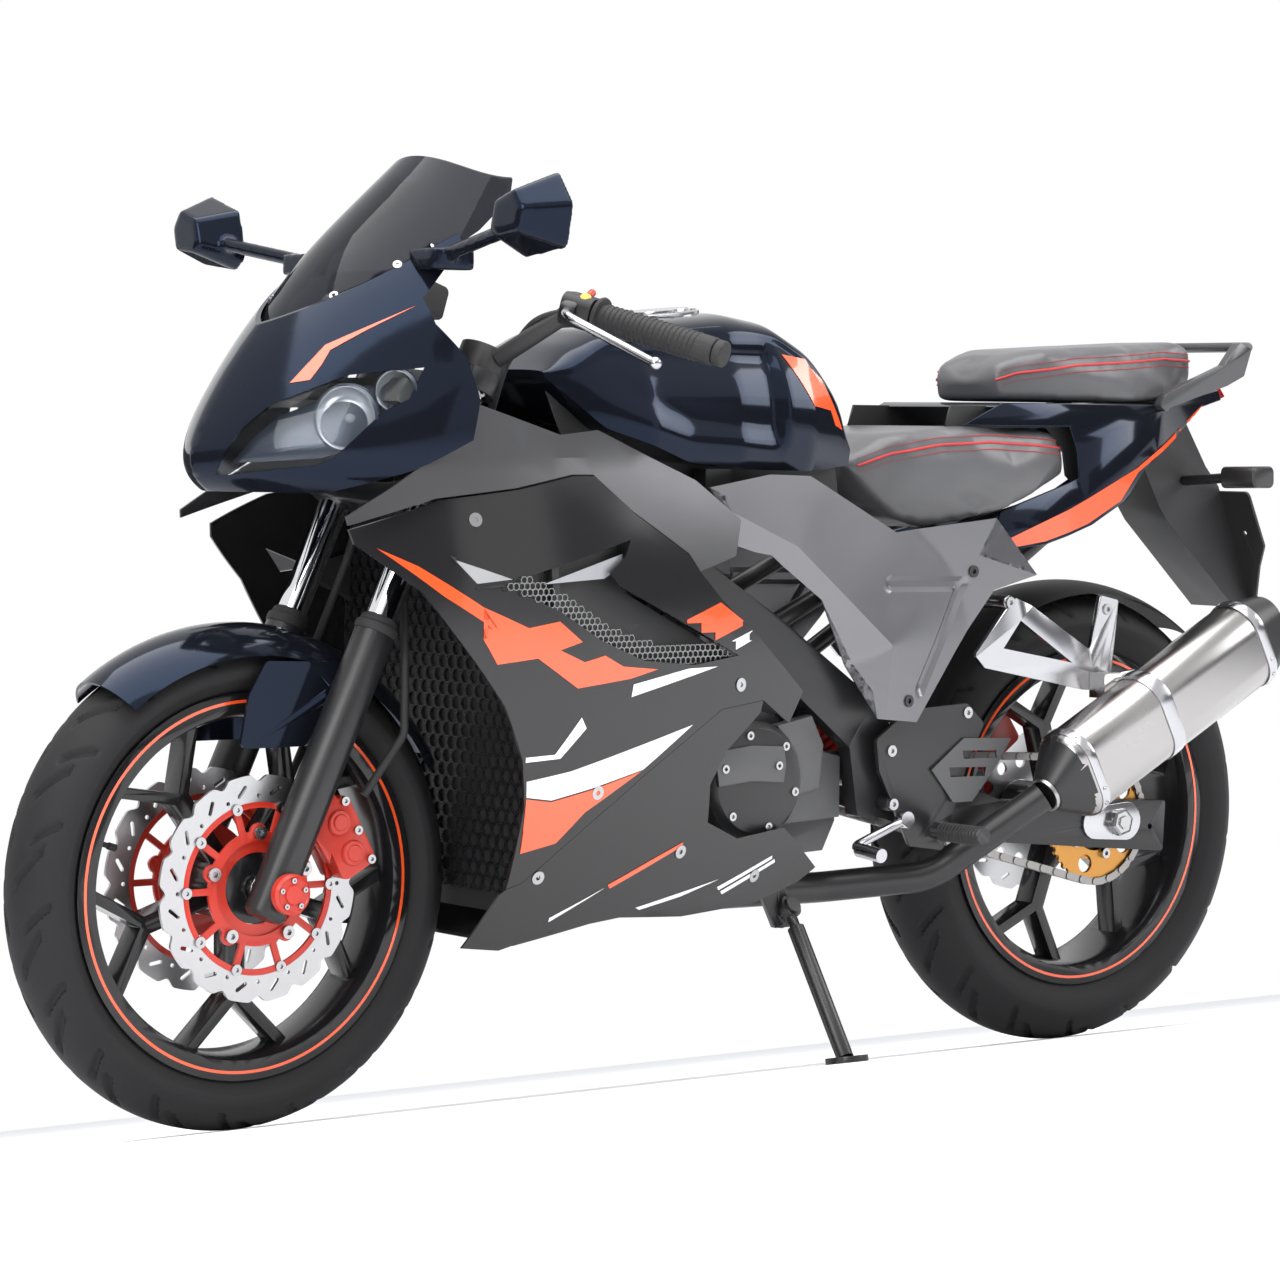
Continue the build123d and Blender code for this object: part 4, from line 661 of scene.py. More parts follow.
def ringSpots(centre, aim, count, first, reach, rise):
    # bolts on a ring: how many, the first one's angle, the ring's radius, the distance along the aim
    spokes = [spokeAt(first + 360 / count * step) for step in range(count)]
    return [(centre + spoke * reach + aim * rise, aim, forward) for spoke in spokes]


def scaled(outline, wide, tall):
    # the outline made larger or smaller about the mean of its corners
    middleU = sum(u for u, _ in outline) / len(outline)
    middleV = sum(v for _, v in outline) / len(outline)
    return [(middleU + (u - middleU) * wide, middleV + (v - middleV) * tall) for u, v in outline]


def voxelSkin(obj, size, rounds):
    skin = obj.modifiers.new("skin", "REMESH")
    skin.mode = "VOXEL"
    skin.voxel_size = size
    even = obj.modifiers.new("even", "SMOOTH")
    even.factor = 0.5
    even.iterations = rounds
    bakeModifiers(obj)


# tyres: crown, sidewalls and beads, with slanted grooves pressed into the crown
tyres = {
    "front_tyre": {
        "centre": frontCentre, "radius": 0.293, "half": 0.054, "drop": 0.035, "bead": 0.0355, "pitches": 18,
        "grooves": ((0.0, 0.006, 0.040, 1.6), (0.42, 0.020, 0.050, 1.1)),
    },
    "rear_tyre": {
        "centre": rearCentre, "radius": 0.310, "half": 0.066, "drop": 0.042, "bead": 0.0475, "pitches": 17,
        "grooves": ((0.0, 0.008, 0.048, 1.5), (0.42, 0.024, 0.061, 1.05)),
    },
}
tread = {
    "steps": 900, "crownRows": 40, "wallRows": 9, "width": 0.0040, "depth": 0.0058, "seatRadius": 0.2166,
    "beadTop": 0.2296, "ribRadius": 0.246,
}


def smoothStep(value):
    value = np.clip(value, 0, 1)
    return value * value * (3 - 2 * value)


for node, tyre in tyres.items():
    radius, half, drop, bead = tyre["radius"], tyre["half"], tyre["drop"], tyre["bead"]
    crown = (half**2 + drop**2) / (2 * drop)
    wide = np.linspace(-half, half, tread["crownRows"])
    high = radius - crown + np.sqrt(crown**2 - wide**2)
    shoulder = radius - drop
    share = np.linspace(0, 1, tread["wallRows"] + 2)[1:]
    wallRadius = shoulder + (tread["beadTop"] - shoulder) * share
    bulge = (half - 0.003) - (half + bead + 0.001) / 2
    wallSide = half + (bead + 0.001 - half) * share + bulge * 4 * share * (1 - share)
    wallSide += 0.0009 * np.exp(-((wallRadius - tread["ribRadius"]) / 0.0016) ** 2)
    profileRadius = np.concatenate((high, wallRadius, [tread["seatRadius"]] * 2, wallRadius[::-1]))
    profileSide = np.concatenate((wide, wallSide, [bead, -bead], -wallSide[::-1]))
    angles = np.linspace(0, 2 * np.pi, tread["steps"], endpoint=False)[:, None]
    depth = np.zeros((tread["steps"], len(profileRadius)))
    pitch = 2 * np.pi * radius / tyre["pitches"]
    reach = np.abs(profileSide)[None, :]
    offset = np.where(profileSide < 0, 0.5, 0.0)[None, :]
    for phase, start, end, slant in tyre["grooves"]:
        run = angles * radius / pitch - offset - phase - slant * reach / pitch
        away = np.abs(run - np.round(run)) * pitch * math.cos(math.atan(slant))
        window = smoothStep((reach - start) / 0.004) * smoothStep((end - reach) / 0.004)
        groove = tread["depth"] * smoothStep((tread["width"] - away) / 0.0016 + 0.5) * window
        depth = np.maximum(depth, groove)
    depth[:, tread["crownRows"]:] = 0
    radii = profileRadius[None, :] - depth
    centre = tyre["centre"]
    verts = np.stack((
        centre.x + radii * np.cos(angles), np.broadcast_to(profileSide[None, :], radii.shape) + centre.y,
        centre.z + radii * np.sin(angles)), axis=-1).reshape(-1, 3)
    faces = ringFaces(tread["steps"], len(profileRadius))
    obj = solidFrom(node + "Tread", verts, faces, 50)
    place(obj, node, mat["tyreRubber"], [node])
print("tyres treaded")

# rims: softened castings with a painted line on each flange and a valve stem
rims = {"front_rim": (frontCentre, 0.042), "rear_rim": (rearCentre, 0.054)}
rimLine = {"inner": 0.2172, "outer": 0.2208, "height": 0.0005}
for node, (centre, half) in rims.items():
    dress(node, mat["rimBlack"], bevel=0.0035, segments=3, degrees=34)
    lines = []
    for side in (1, -1):
        face = side * (half - 0.0001)
        edge = side * (half + rimLine["height"])
        inner, outer = rimLine["inner"], rimLine["outer"]
        profile = [(inner, face), (inner, edge), (outer, edge), (outer, face)]
        lines.append(turned(node + "Line", centre, across, profile, 160, seam=forward))
    place(joinMeshes(node + "Lines", lines), node, mat["orangeStripe"])
    spoke = spokeAt(18)
    stem = turned(node + "Valve", centre + spoke * 0.200, -spoke, [
        (0.0001, 0), (0.0052, 0), (0.0052, 0.006), (0.0032, 0.009), (0.0032, 0.026), (0.0044, 0.0265),
        (0.0044, 0.037), (0.0001, 0.038)], 16)
    place(stem, node, mat["gripRubber"])


def wavyEdge(centre, radius, waves, depth, points):
    edge = []
    for step in range(points):
        angle = 2 * math.pi * step / points
        dip = max(0.0, math.cos(waves * angle)) ** 2
        reach = radius - depth * dip
        edge.append((centre.x + reach * math.cos(angle), centre.z + reach * math.sin(angle)))
    return edge


def slotEdge(centre, radius, angle, lean, length, half):
    # a rounded slot at that angle, leaning away from the radius
    middle = (centre.x + radius * math.cos(angle), centre.z + radius * math.sin(angle))
    turn = math.degrees(angle) + lean
    reach = (math.cos(math.radians(turn)) * length / 2, math.sin(math.radians(turn)) * length / 2)
    ends = ((middle[0] + reach[0], middle[1] + reach[1]), (middle[0] - reach[0], middle[1] - reach[1]))
    farEnd = arcPoints(ends[0], half, turn - 90, turn + 90, 6)
    return farEnd + arcPoints(ends[1], half, turn + 90, turn + 270, 6)


discCut = {"thick": 0.004, "slotHalf": 0.0024, "slotLean": 48}
discs = {
    "front_discs": {
        "centre": frontCentre, "radius": 0.134, "inner": 0.1022, "waves": 16, "depth": 0.0075,
        "planes": (0.062, -0.062), "slotRing": 0.1165, "slotLength": 0.013, "holeRing": 0.1095,
        "holeHalf": 0.0026,
    },
    "rear_disc": {
        "centre": rearCentre, "radius": 0.110, "inner": 0.0428, "waves": 12, "depth": 0.006,
        "planes": (-0.072,), "slotRing": 0.094, "slotLength": 0.012, "holeRing": 0.068, "holeHalf": 0.009,
    },
}
for node, disc in discs.items():
    centre, waves = disc["centre"], disc["waves"]
    holes = [wavyEdge(centre, disc["inner"], 1, 0, 96)]
    for wave in range(waves):
        angle = 2 * math.pi * (wave + 0.5) / waves
        holes.append(slotEdge(
            centre, disc["slotRing"], angle, discCut["slotLean"], disc["slotLength"], discCut["slotHalf"]))
        between = 2 * math.pi * wave / waves
        spot = (centre.x + disc["holeRing"] * math.cos(between),
                centre.z + disc["holeRing"] * math.sin(between))
        holes.append(arcPoints(spot, disc["holeHalf"], 0, 330, 12))
    edge = wavyEdge(centre, disc["radius"], waves, disc["depth"], 384)
    plates = [plate(node + "Plate", [edge] + holes, plane, discCut["thick"]) for plane in disc["planes"]]
    obj = joinMeshes(node + "Wave", plates)
    smoothByAngle(obj, 30)
    place(obj, node, mat["discSteel"], [node])

# carriers with their bolts and floating buttons
dress("disc_carriers", mat["redPaint"], bevel=0.0012, segments=2)
carrier = {"bolts": (5, 18, 0.066, 0.067), "buttons": (10, 0, 0.0985, 0.065)}
boltSpots, buttonSpots = [], []
for aim in (across, -across):
    boltSpots += ringSpots(frontCentre, aim, *carrier["bolts"])
    buttonSpots += ringSpots(frontCentre, aim, *carrier["buttons"])
setBolts("carrierBolts", boltSpots, (0.008, 0.007, 0.004), "disc_carriers")
setBolts("discButtons", buttonSpots, (0.0068, 0.004, 0.003), "disc_carriers")

# axle caps and nuts
axleCaps = {
    "frontCap": ("front_axle", frontCentre, 0.1355, 1, 0.024, "redPaint"),
    "frontNut": ("front_axle", frontCentre, 0.1355, -1, 0.019, "boltSteel"),
    "rearCap": ("rear_axle", rearCentre, 0.1325, 1, 0.019, "boltSteel"),
    "rearNut": ("rear_axle", rearCentre, 0.1325, -1, 0.019, "boltSteel"),
}
for name, (node, centre, plane, side, radius, finish) in axleCaps.items():
    profile = [(0.0001, 0.007), (radius * 0.45, 0.007), (radius * 0.5, 0.0045), (radius * 0.8, 0.0045),
               (radius * 0.86, 0.006), (radius, 0.003), (radius, -0.006), (0.0001, -0.006)]
    steps = 36 if finish == "redPaint" else 6
    obj = turned(name, centre + across * (side * plane), across * side, profile, steps)
    place(obj, node, mat[finish])
capSpots = ringSpots(frontCentre, across, 5, 18, 0.0165, 0.141)
setBolts("capBolts", capSpots, (0.0032, 0.003, 0.0015), "front_axle")
for node in ("front_axle", "rear_axle"):
    dress(node, mat["brushedSteel"], bevel=0.001)

# calipers: softened blocks with piston covers and mounting bolts
dress("brake_calipers", mat["redPaint"], bevel=0.004, segments=3)
dress("rear_caliper", mat["redPaint"], bevel=0.003, segments=3)
caliper = {
    "angle": 152, "reach": 0.120, "face": 0.088, "pistons": (-0.021, 0.021), "bolts": (-0.040, 0.0, 0.040),
    "boltReach": 0.018,
}
outward = spokeAt(caliper["angle"])
sideways = Vector((-outward.z, 0, outward.x))
caliperMiddle = frontCentre + outward * caliper["reach"]
covers, mountSpots = [], []
for side in (1, -1):
    for shift in caliper["pistons"]:
        spot = caliperMiddle + sideways * shift + across * (side * caliper["face"])
        covers.append(turned("pistonCover", spot, across * side, [
            (0.0001, 0.006), (0.009, 0.006), (0.0105, 0.004), (0.014, 0.004), (0.0155, 0.002),
            (0.0155, -0.004), (0.0001, -0.004)], 28))
    for shift in caliper["bolts"]:
        spot = caliperMiddle + sideways * shift + outward * caliper["boltReach"]
        mountSpots.append((spot + across * (side * (caliper["face"] + 0.002)), across * side, forward))
place(joinMeshes("pistonCovers", covers), "brake_calipers", mat["redPaint"])
setBolts("caliperBolts", mountSpots, (0.0055, 0.005, 0.0028), "brake_calipers")

# rear sprocket and its nuts
dress("rear_sprocket", mat["goldSteel"], bevel=0.0008)
nutSpots = ringSpots(rearCentre, across, 5, 36, 0.0495, 0.086)
setBolts("sprocketNuts", nutSpots, (0.007, 0.006, 0.0034), "rear_sprocket")


# chain: link plates and rollers set along the pitch line
def drawLink(tree, given):
    pitch, gap = given.outputs["Pitch"], given.outputs["Gap"]
    ends = []
    for share in (0.5, -0.5):
        disc = addRod(tree, 10, given.outputs["Plate Radius"], given.outputs["Plate"])
        ends.append(shiftBy(tree, pitch, "X", share, disc))
    both = addNode(tree, "GeometryNodeJoinGeometry")
    for end in ends:
        tree.links.new(end, both.inputs["Geometry"])
    hull = addNode(tree, "GeometryNodeConvexHull")
    tree.links.new(both.outputs["Geometry"], hull.inputs["Geometry"])
    whole = addNode(tree, "GeometryNodeJoinGeometry")
    for share in (0.5, -0.5):
        linkPlate = shiftBy(tree, gap, "Z", share, hull.outputs["Convex Hull"])
        tree.links.new(linkPlate, whole.inputs["Geometry"])
    roller = addRod(tree, 10, given.outputs["Roller Radius"], gap)
    tree.links.new(shiftBy(tree, pitch, "X", 0.5, roller), whole.inputs["Geometry"])
    return whole.outputs["Geometry"]


chain = {"links": 110, "plane": 0.081, "rearRadius": 0.08497, "frontRadius": 0.03054, "frontX": 0.505,
         "frontZ": 0.388}
linkSizes = {"Pitch": 0.0127, "Plate Radius": 0.0052, "Plate": 0.0015, "Gap": 0.0085,
             "Roller Radius": 0.0036}
linkTree = spotTree("links", linkSizes, drawLink)
reachX, reachZ = chain["frontX"], chain["frontZ"] - rearCentre.z
runLength = math.hypot(reachX, reachZ)
slope = math.atan2(reachZ, reachX)
wrap = math.asin((chain["rearRadius"] - chain["frontRadius"]) / runLength)
straight = math.sqrt(runLength**2 - (chain["rearRadius"] - chain["frontRadius"]) ** 2)
rearArc = chain["rearRadius"] * (math.pi + 2 * wrap)
frontArc = chain["frontRadius"] * (math.pi - 2 * wrap)
loopLength = 2 * straight + rearArc + frontArc


def chainPoint(travel):
    # starts at the top of the rear sprocket and runs forward along the upper run
    travel %= loopLength
    topAngle = slope + math.pi / 2 - wrap
    lowAngle = slope - math.pi / 2 + wrap
    rearMiddle = Vector((0, chain["plane"], rearCentre.z))
    frontMiddle = Vector((chain["frontX"], chain["plane"], chain["frontZ"]))

    def rim(middle, radius, angle):
        return middle + Vector((math.cos(angle), 0, math.sin(angle))) * radius

    rearTop = rim(rearMiddle, chain["rearRadius"], topAngle)
    frontTop = rim(frontMiddle, chain["frontRadius"], topAngle)
    frontLow = rim(frontMiddle, chain["frontRadius"], lowAngle)
    rearLow = rim(rearMiddle, chain["rearRadius"], lowAngle)
    if travel < straight:
        return rearTop.lerp(frontTop, travel / straight)
    travel -= straight
    if travel < frontArc:
        return rim(frontMiddle, chain["frontRadius"], topAngle - travel / chain["frontRadius"])
    travel -= frontArc
    if travel < straight:
        return frontLow.lerp(rearLow, travel / straight)
    travel -= straight
    return rim(rearMiddle, chain["rearRadius"], lowAngle - travel / chain["rearRadius"])


step = loopLength / chain["links"]
linkSets = {"outerLinks": ([], 0.0118), "innerLinks": ([], 0.0085)}
for link in range(chain["links"]):
    start, end = chainPoint(link * step), chainPoint((link + 1) * step)
    spots = linkSets["outerLinks" if link % 2 else "innerLinks"][0]
    spots.append(((start + end) / 2, across, (end - start).normalized()))
linkParts = []
for name, (spots, gap) in linkSets.items():
    linkParts.append(setSpots(name, spots, linkTree, {"Gap": gap, "Pitch": step}, mat["linkSteel"]))
place(joinMeshes("chainLinks", linkParts), "chain", mat["linkSteel"], ["chain"])
print("wheels and drive done")

# fork legs: sliders with dust seals, chromed tubes with caps, yokes
rakeUp = Vector((-math.sin(bike["rake"]), 0, math.cos(bike["rake"])))
rakeFront = Vector((math.cos(bike["rake"]), 0, math.sin(bike["rake"])))
headFoot = Vector((bike["wheelbase"] + bike["trail"], 0, 0))
fork = {
    "offset": 0.0377, "half": 0.097, "sliderTop": 0.6357, "tubeTop": 0.985,
    "pinchHeights": (0.800, 0.950), "pinchReach": 0.0225,
}


def onFork(side, height):
    return headFoot + rakeFront * fork["offset"] + rakeUp * height + across * (side * fork["half"])


dress("fork_sliders", mat["satinBlack"], bevel=0.0025, segments=3)
dress("fork_tubes", mat["chrome"], bevel=0.0)
dress("yokes", mat["satinBlack"], bevel=0.003, segments=3)
seals, caps = [], []
for side in (1, -1):
    seals.append(turned("dustSeal", onFork(side, fork["sliderTop"]), rakeUp, [
        (0.0190, -0.002), (0.0262, -0.002), (0.0268, 0.003), (0.0262, 0.008), (0.0235, 0.010),
        (0.0225, 0.016), (0.0190, 0.019)], 40))
    caps.append(turned("forkCap", onFork(side, fork["tubeTop"]), rakeUp, [
        (0.0001, 0.009), (0.0085, 0.009), (0.0095, 0.008), (0.0095, 0.003), (0.0165, 0.003), (0.0180, 0.0),
        (0.0001, 0.0)], 24))
place(joinMeshes("dustSeals", seals), "fork_sliders", mat["gripRubber"])
place(joinMeshes("forkCaps", caps), "fork_tubes", mat["polishedAlloy"])
pinchSpots = []
for side in (1, -1):
    for height in fork["pinchHeights"]:
        spot = onFork(side, height) + across * (side * fork["pinchReach"])
        pinchSpots.append((spot, across * side, forward))
setBolts("pinchBolts", pinchSpots, (0.006, 0.006, 0.003), "yokes")

# bars: ribbed grips, levers, switch buttons
dress("handlebars", mat["mattBlack"], bevel=0.002)
dress("grips", mat["gripRubber"], bevel=0.002)
dress("hand_levers", mat["polishedAlloy"], bevel=0.0)
dress("brake_hoses", mat["gripRubber"], bevel=0.0)
gripStart, gripEnd = mm(952, 212, 968), mm(884, 352, 926)
gripAim = (gripEnd - gripStart).normalized()
flip = Matrix.Diagonal((1, -1, 1, 1))
ribSpots = []
ribRun = {"count": 19, "first": 0.014, "pitch": 0.0068}
for rib in range(ribRun["count"]):
    spot = gripStart + gripAim * (ribRun["first"] + rib * ribRun["pitch"])
    ribSpots.append((spot, gripAim, gripAim.orthogonal().normalized()))
    ribSpots.append((flip @ spot, flip @ gripAim, flip @ gripAim.orthogonal().normalized()))
gripRibs = {"Ring Radius": 0.0168, "Bead Radius": 0.0013}
place(setSpots("gripRibs", ribSpots, ringTree, gripRibs, mat["gripRubber"]), "grips", None)
flange = turned("gripFlange", gripStart, gripAim, [
    (0.0165, 0.0), (0.0235, 0.0005), (0.0245, 0.003), (0.0235, 0.0055), (0.0172, 0.0065)], 40)
place(bothSides(flange), "grips", mat["gripRubber"])
buttons = {
    "turnSwitch": ((-0.022, 0.004), 0.0055, "yellowKnob"),
    "hornSwitch": ((-0.022, -0.012), 0.0048, "redPaint"),
    "beamSwitch": ((-0.010, 0.004), 0.0042, "grayLight"),
}
rearward = (Vector((-1, 0, 0.55)) - gripAim * Vector((-1, 0, 0.55)).dot(gripAim)).normalized()
upward = gripAim.cross(rearward) * -1
for name, ((along, rise), radius, finish) in buttons.items():
    spot = gripStart + gripAim * along + rearward * 0.0205 + upward * rise
    knob = turned(name, spot, rearward, [
        (0.0001, 0.006), (radius * 0.8, 0.006), (radius, 0.0045), (radius, -0.004), (0.0001, -0.004)], 20)
    place(bothSides(knob), "handlebars", mat[finish])

# cables from the left and right switch boxes down to the head, and the lever perches
cables = {
    "clutchCable": [(968, 192, 975), (996, 164, 974), (1012, 132, 944), (1018, 100, 884), (1014, 70, 822)],
    "switchLoom": [(948, 196, 958), (985, 160, 962), (1015, 128, 930), (1022, 92, 870), (1016, 62, 815)],
}
for name, route in cables.items():
    cord = tube(name, [mm(*spot) for spot in route], 0.0036)
    place(bothSides(cord), "handlebars", mat["gripRubber"])
perch = turned("leverPerch", gripStart - gripAim * 0.030 + Vector((0.018, 0.003, 0.0)), gripAim, [
    (0.0001, -0.004), (0.0115, -0.004), (0.0135, -0.001), (0.0135, 0.013), (0.0115, 0.016),
    (0.0001, 0.016)], 28)
place(bothSides(perch), "handlebars", mat["satinBlack"])
faceAim = Vector((0.45, 0.35, 0.8))
faceAim = (faceAim - gripAim * faceAim.dot(gripAim)).normalized()
rocker = turned("passSwitch", gripStart - gripAim * 0.016 + faceAim * 0.019, faceAim, [
    (0.0001, 0.006), (0.0062, 0.006), (0.0074, 0.0045), (0.0074, -0.003), (0.0001, -0.003)], 8)
place(bothSides(rocker), "handlebars", mat["yellowKnob"])
print("front end done")

# side panels and belly: gloss shells with painted figures, set bolts and a mesh in the vent
for node in ("side_fairing_left", "side_fairing_right", "belly_pan"):
    dress(node, mat["panelBlack"], bevel=0.0)
dress("upper_cowl", mat["glossBlack"], bevel=0.0)
dress("front_mudguard", mat["glossBlack"], bevel=0.0, degrees=40)
panels = surfaceOf(["side_fairing_left", "side_fairing_right", "belly_pan"])
sideSurfaces = {
    "Left": surfaceOf(["side_fairing_left", "belly_pan"]),
    "Right": surfaceOf(["side_fairing_right", "belly_pan"]),
}
cowlSurface = surfaceOf(["upper_cowl"])
figures = {
    "orangeFigure": ("side_fairing_left", "orangeStripe", [
        (1240, 694), (1196, 673), (1120, 625), (1061, 600), (1017, 607), (984, 582), (1017, 573),
        (981, 558), (950, 565), (921, 551), (865, 546), (909, 536), (991, 527), (1049, 564), (1104, 558),
        (1122, 588), (1099, 594), (1168, 638)]),
    "rearOrange": ("side_fairing_left", "orangeStripe", [(835, 598), (757, 624), (712, 597), (783, 573)]),
    "rearWhite": ("side_fairing_left", "whiteStripe", [(770, 566), (700, 589), (690, 581), (750, 559)]),
    "whiteSlash": ("side_fairing_left", "whiteStripe", [(904, 529), (814, 545), (764, 546), (907, 514)]),
    "whiteBand": ("side_fairing_left", "whiteStripe", [
        (1056, 418), (993, 428), (803, 476), (880, 425), (958, 406), (1018, 394), (1054, 399)]),
    "orangeWedge": ("side_fairing_left", "orangeStripe", [
        (1054, 397), (1018, 392), (958, 404), (883, 423), (965, 377), (1003, 341), (1052, 331),
        (1052, 366)]),
    "whiteLine": ("side_fairing_left", "whiteStripe",
                  [(1060, 447), (1060, 441), (1011, 444), (975, 479), (983, 492), (1019, 449)]),
    "bellyOrange": ("belly_pan", "orangeStripe",
                    [(909, 284), (844, 311), (795, 330), (796, 325), (905, 279)]),
    "bellyWhite": ("belly_pan", "whiteStripe", [(990, 248), (914, 280), (990, 243)]),
    "slashUpper": ("belly_pan", "whiteStripe", [(718, 267), (626, 301), (625, 297), (714, 263)]),
    "slashLower": ("belly_pan", "whiteStripe", [(710, 261), (620, 296), (618, 292), (706, 257)]),
    "lowWhite": ("belly_pan", "whiteStripe", [(854, 251), (719, 277), (781, 260), (847, 248)]),
}
for name, (node, finish, outline) in figures.items():
    for hand, view in (("Left", sideLeft), ("Right", sideRight)):
        film = patch(name + hand, outline, sideSurfaces[hand], view)
        owner = node if hand == "Left" else node.replace("left", "right")
        place(film, owner, mat[finish])
print("figures laid on")

panelBolts = {"spots": [(1123, 727), (722, 522), (949, 400), (797, 318), (653, 277), (1020, 300)],
              "head": (0.0085, 0.0032, 0.0034)}
boltSpots = []
for view in (sideLeft, sideRight):
    boltSpots += onSurface(panels, view, panelBolts["spots"])
setBolts("panelBolts", boltSpots, panelBolts["head"], "belly_pan")

# vent: a fine mesh along its lower edge, a dark liner behind it and a gray wedge
ventEdge = [(1094, 651), (901, 702), (910, 683), (937, 664), (925, 648), (726, 558), (802, 549), (888, 557),
            (955, 583), (1015, 618)]


def insideOutline(outline, u, v):
    inside = False
    for (u0, v0), (u1, v1) in zip(outline, outline[1:] + outline[:1]):
        if (v0 > v) != (v1 > v) and u < (u1 - u0) * (v - v0) / (v1 - v0) + u0:
            inside = not inside
    return inside


ventLower = [(1094, 651), (1015, 618), (955, 583), (888, 557), (802, 549), (726, 558)]


def lineDistance(line, u, v):
    best = 1e9
    for (u0, v0), (u1, v1) in zip(line, line[1:]):
        length = (u1 - u0) ** 2 + (v1 - v0) ** 2
        share = min(1, max(0, ((u - u0) * (u1 - u0) + (v - v0) * (v1 - v0)) / length))
        best = min(best, math.hypot(u - u0 - share * (u1 - u0), v - v0 - share * (v1 - v0)))
    return best


samples = onSurface(panels, sideLeft, scaled(ventEdge, 1.08, 1.12))
system = np.array([(1, spot[0].x, spot[0].z) for spot in samples])
ventPlane = np.linalg.lstsq(system, np.array([spot[0].y for spot in samples]), rcond=None)[0]


def ventDepth(x, z):
    return float(ventPlane @ np.array((1, x, z)))


meshLook = {"cell": 0.0042, "wall": 0.0011, "depth": 0.0016, "inset": 0.007, "linerInset": 0.014,
            "band": 21, "rear": 0.715, "low": 0.540}
ventSpots = []
pitchU = meshLook["cell"] * 2
pitchV = meshLook["cell"] * math.sqrt(3)
for row in range(-10, 120):
    for column in range(0, 60):
        u = meshLook["rear"] + column * pitchU + (row % 2) * pitchU / 2
        v = meshLook["low"] + row * pitchV
        near = lineDistance(ventLower, u * 1000, v * 1000) < meshLook["band"]
        if near and insideOutline(ventEdge, u * 1000, v * 1000):
            spot = Vector((u, ventDepth(u, v) - meshLook["inset"], v))
            ventSpots.append((spot, across, forward))
            ventSpots.append((flip @ spot, -across, forward))
cellSizes = {"Cell Radius": meshLook["cell"] * 1.1, "Wall": meshLook["wall"], "Depth": meshLook["depth"]}
place(setSpots("ventMesh", ventSpots, cellTree, cellSizes, mat["meshSteel"]), "side_fairing_left", None)
work = fillOutline(scaled(ventEdge, 1.04, 1.10), sideLeft, 0.03)
for vert in work.verts:
    vert.co.y = ventDepth(vert.co.x, vert.co.z) - meshLook["inset"] - meshLook["linerInset"]
liner = workToObject(work, "ventLiner")
wall = liner.modifiers.new("wall", "SOLIDIFY")
wall.thickness = 0.002
bakeModifiers(liner)
faceOut(liner)
linerSurface = meshSurface(liner)
place(bothSides(liner), "inner_panel_left", mat["mattBlack"])
wedge = patch("ventWedge", [(1040, 650), (912, 684), (916, 668), (943, 655)], linerSurface, sideLeft,
              lift=0.013)
place(bothSides(wedge), "inner_panel_left", mat["grayLight"])

# radiator: a honeycomb over the front grille
dress("cowl_grille", mat["mattBlack"], bevel=0.0)
grilleSurface = surfaceOf(["cowl_grille"])
grid = {
    "rows": 26, "columns": 11, "pitchY": 0.019, "pitchZ": 0.0165, "low": 0.285, "start": 1.4,
    "sideRoom": 0.014, "room": 0.012,
}
gridSpots = []
for row in range(grid["rows"]):
    for column in range(-grid["columns"], grid["columns"] + 1):
        y = (column + row % 2 / 2) * grid["pitchY"]
        z = grid["low"] + row * grid["pitchZ"]
        hits = []
        for wide, tall in ((0, 0), (1, 0), (-1, 0), (0, 1), (0, -1)):
            shift, rise = wide * grid["sideRoom"], tall * grid["room"]
            hits.append(grilleSurface.ray_cast(Vector((grid["start"], y + shift, z + rise)), -forward)[0])
        if None not in hits:
            gridSpots.append((hits[0] + forward * 0.001, forward, across))
grilleSizes = {"Cell Radius": 0.0104, "Wall": 0.0022, "Depth": 0.006}
place(setSpots("grilleCells", gridSpots, cellTree, grilleSizes, mat["satinBlack"]), "cowl_grille", None)

# inner panels in a darker copy of the gray panel finish, which paints the shade of their lower facet; front
# indicators
for node in ("inner_panel_left", "inner_panel_right"):
    dress(node, mat["shadedInnerGray"], bevel=0.0)
dress("front_indicators", mat["indicatorLens"], bevel=0.0)
signalBase = [(1160, 686), (1077, 654), (1062, 650), (1129, 647)]
base = patch("signalBase", signalBase, sideSurfaces["Left"], sideLeft, lift=0.0, thick=0.003)
place(bothSides(base), "front_indicators", mat["mattBlack"])

# nose: painted chevron, lamp housing and reflectors behind the clear lenses
chevron = [(-984, 884), (-944, 929), (-840, 976), (-894, 948), (-938, 923), (-947, 906), (-960, 888)]
place(bothSides(patch("noseChevron", chevron, cowlSurface, noseLeft)), "upper_cowl", mat["orangeStripe"])
dress("headlamps", mat["clearLens"], bevel=0.0)
lensSurface = surfaceOf(["headlamps"])
lampEdge = [(-1071, 775), (-1059, 802), (-1038, 832), (-1006, 859), (-917, 894), (-828, 904), (-845, 867),
            (-873, 853), (-931, 797), (-950, 790)]
housing = patch("lampHousing", scaled(lampEdge, 0.97, 0.94), lensSurface, noseLeft, lift=-0.030,
                thick=0.002)
place(bothSides(housing), "headlamps", mat["lampShade"])
reflectors = {"lowBeam": (-922, 845, 0.036), "highBeam": (-866, 877, 0.023)}
bowls, bulbs, rings = [], [], []
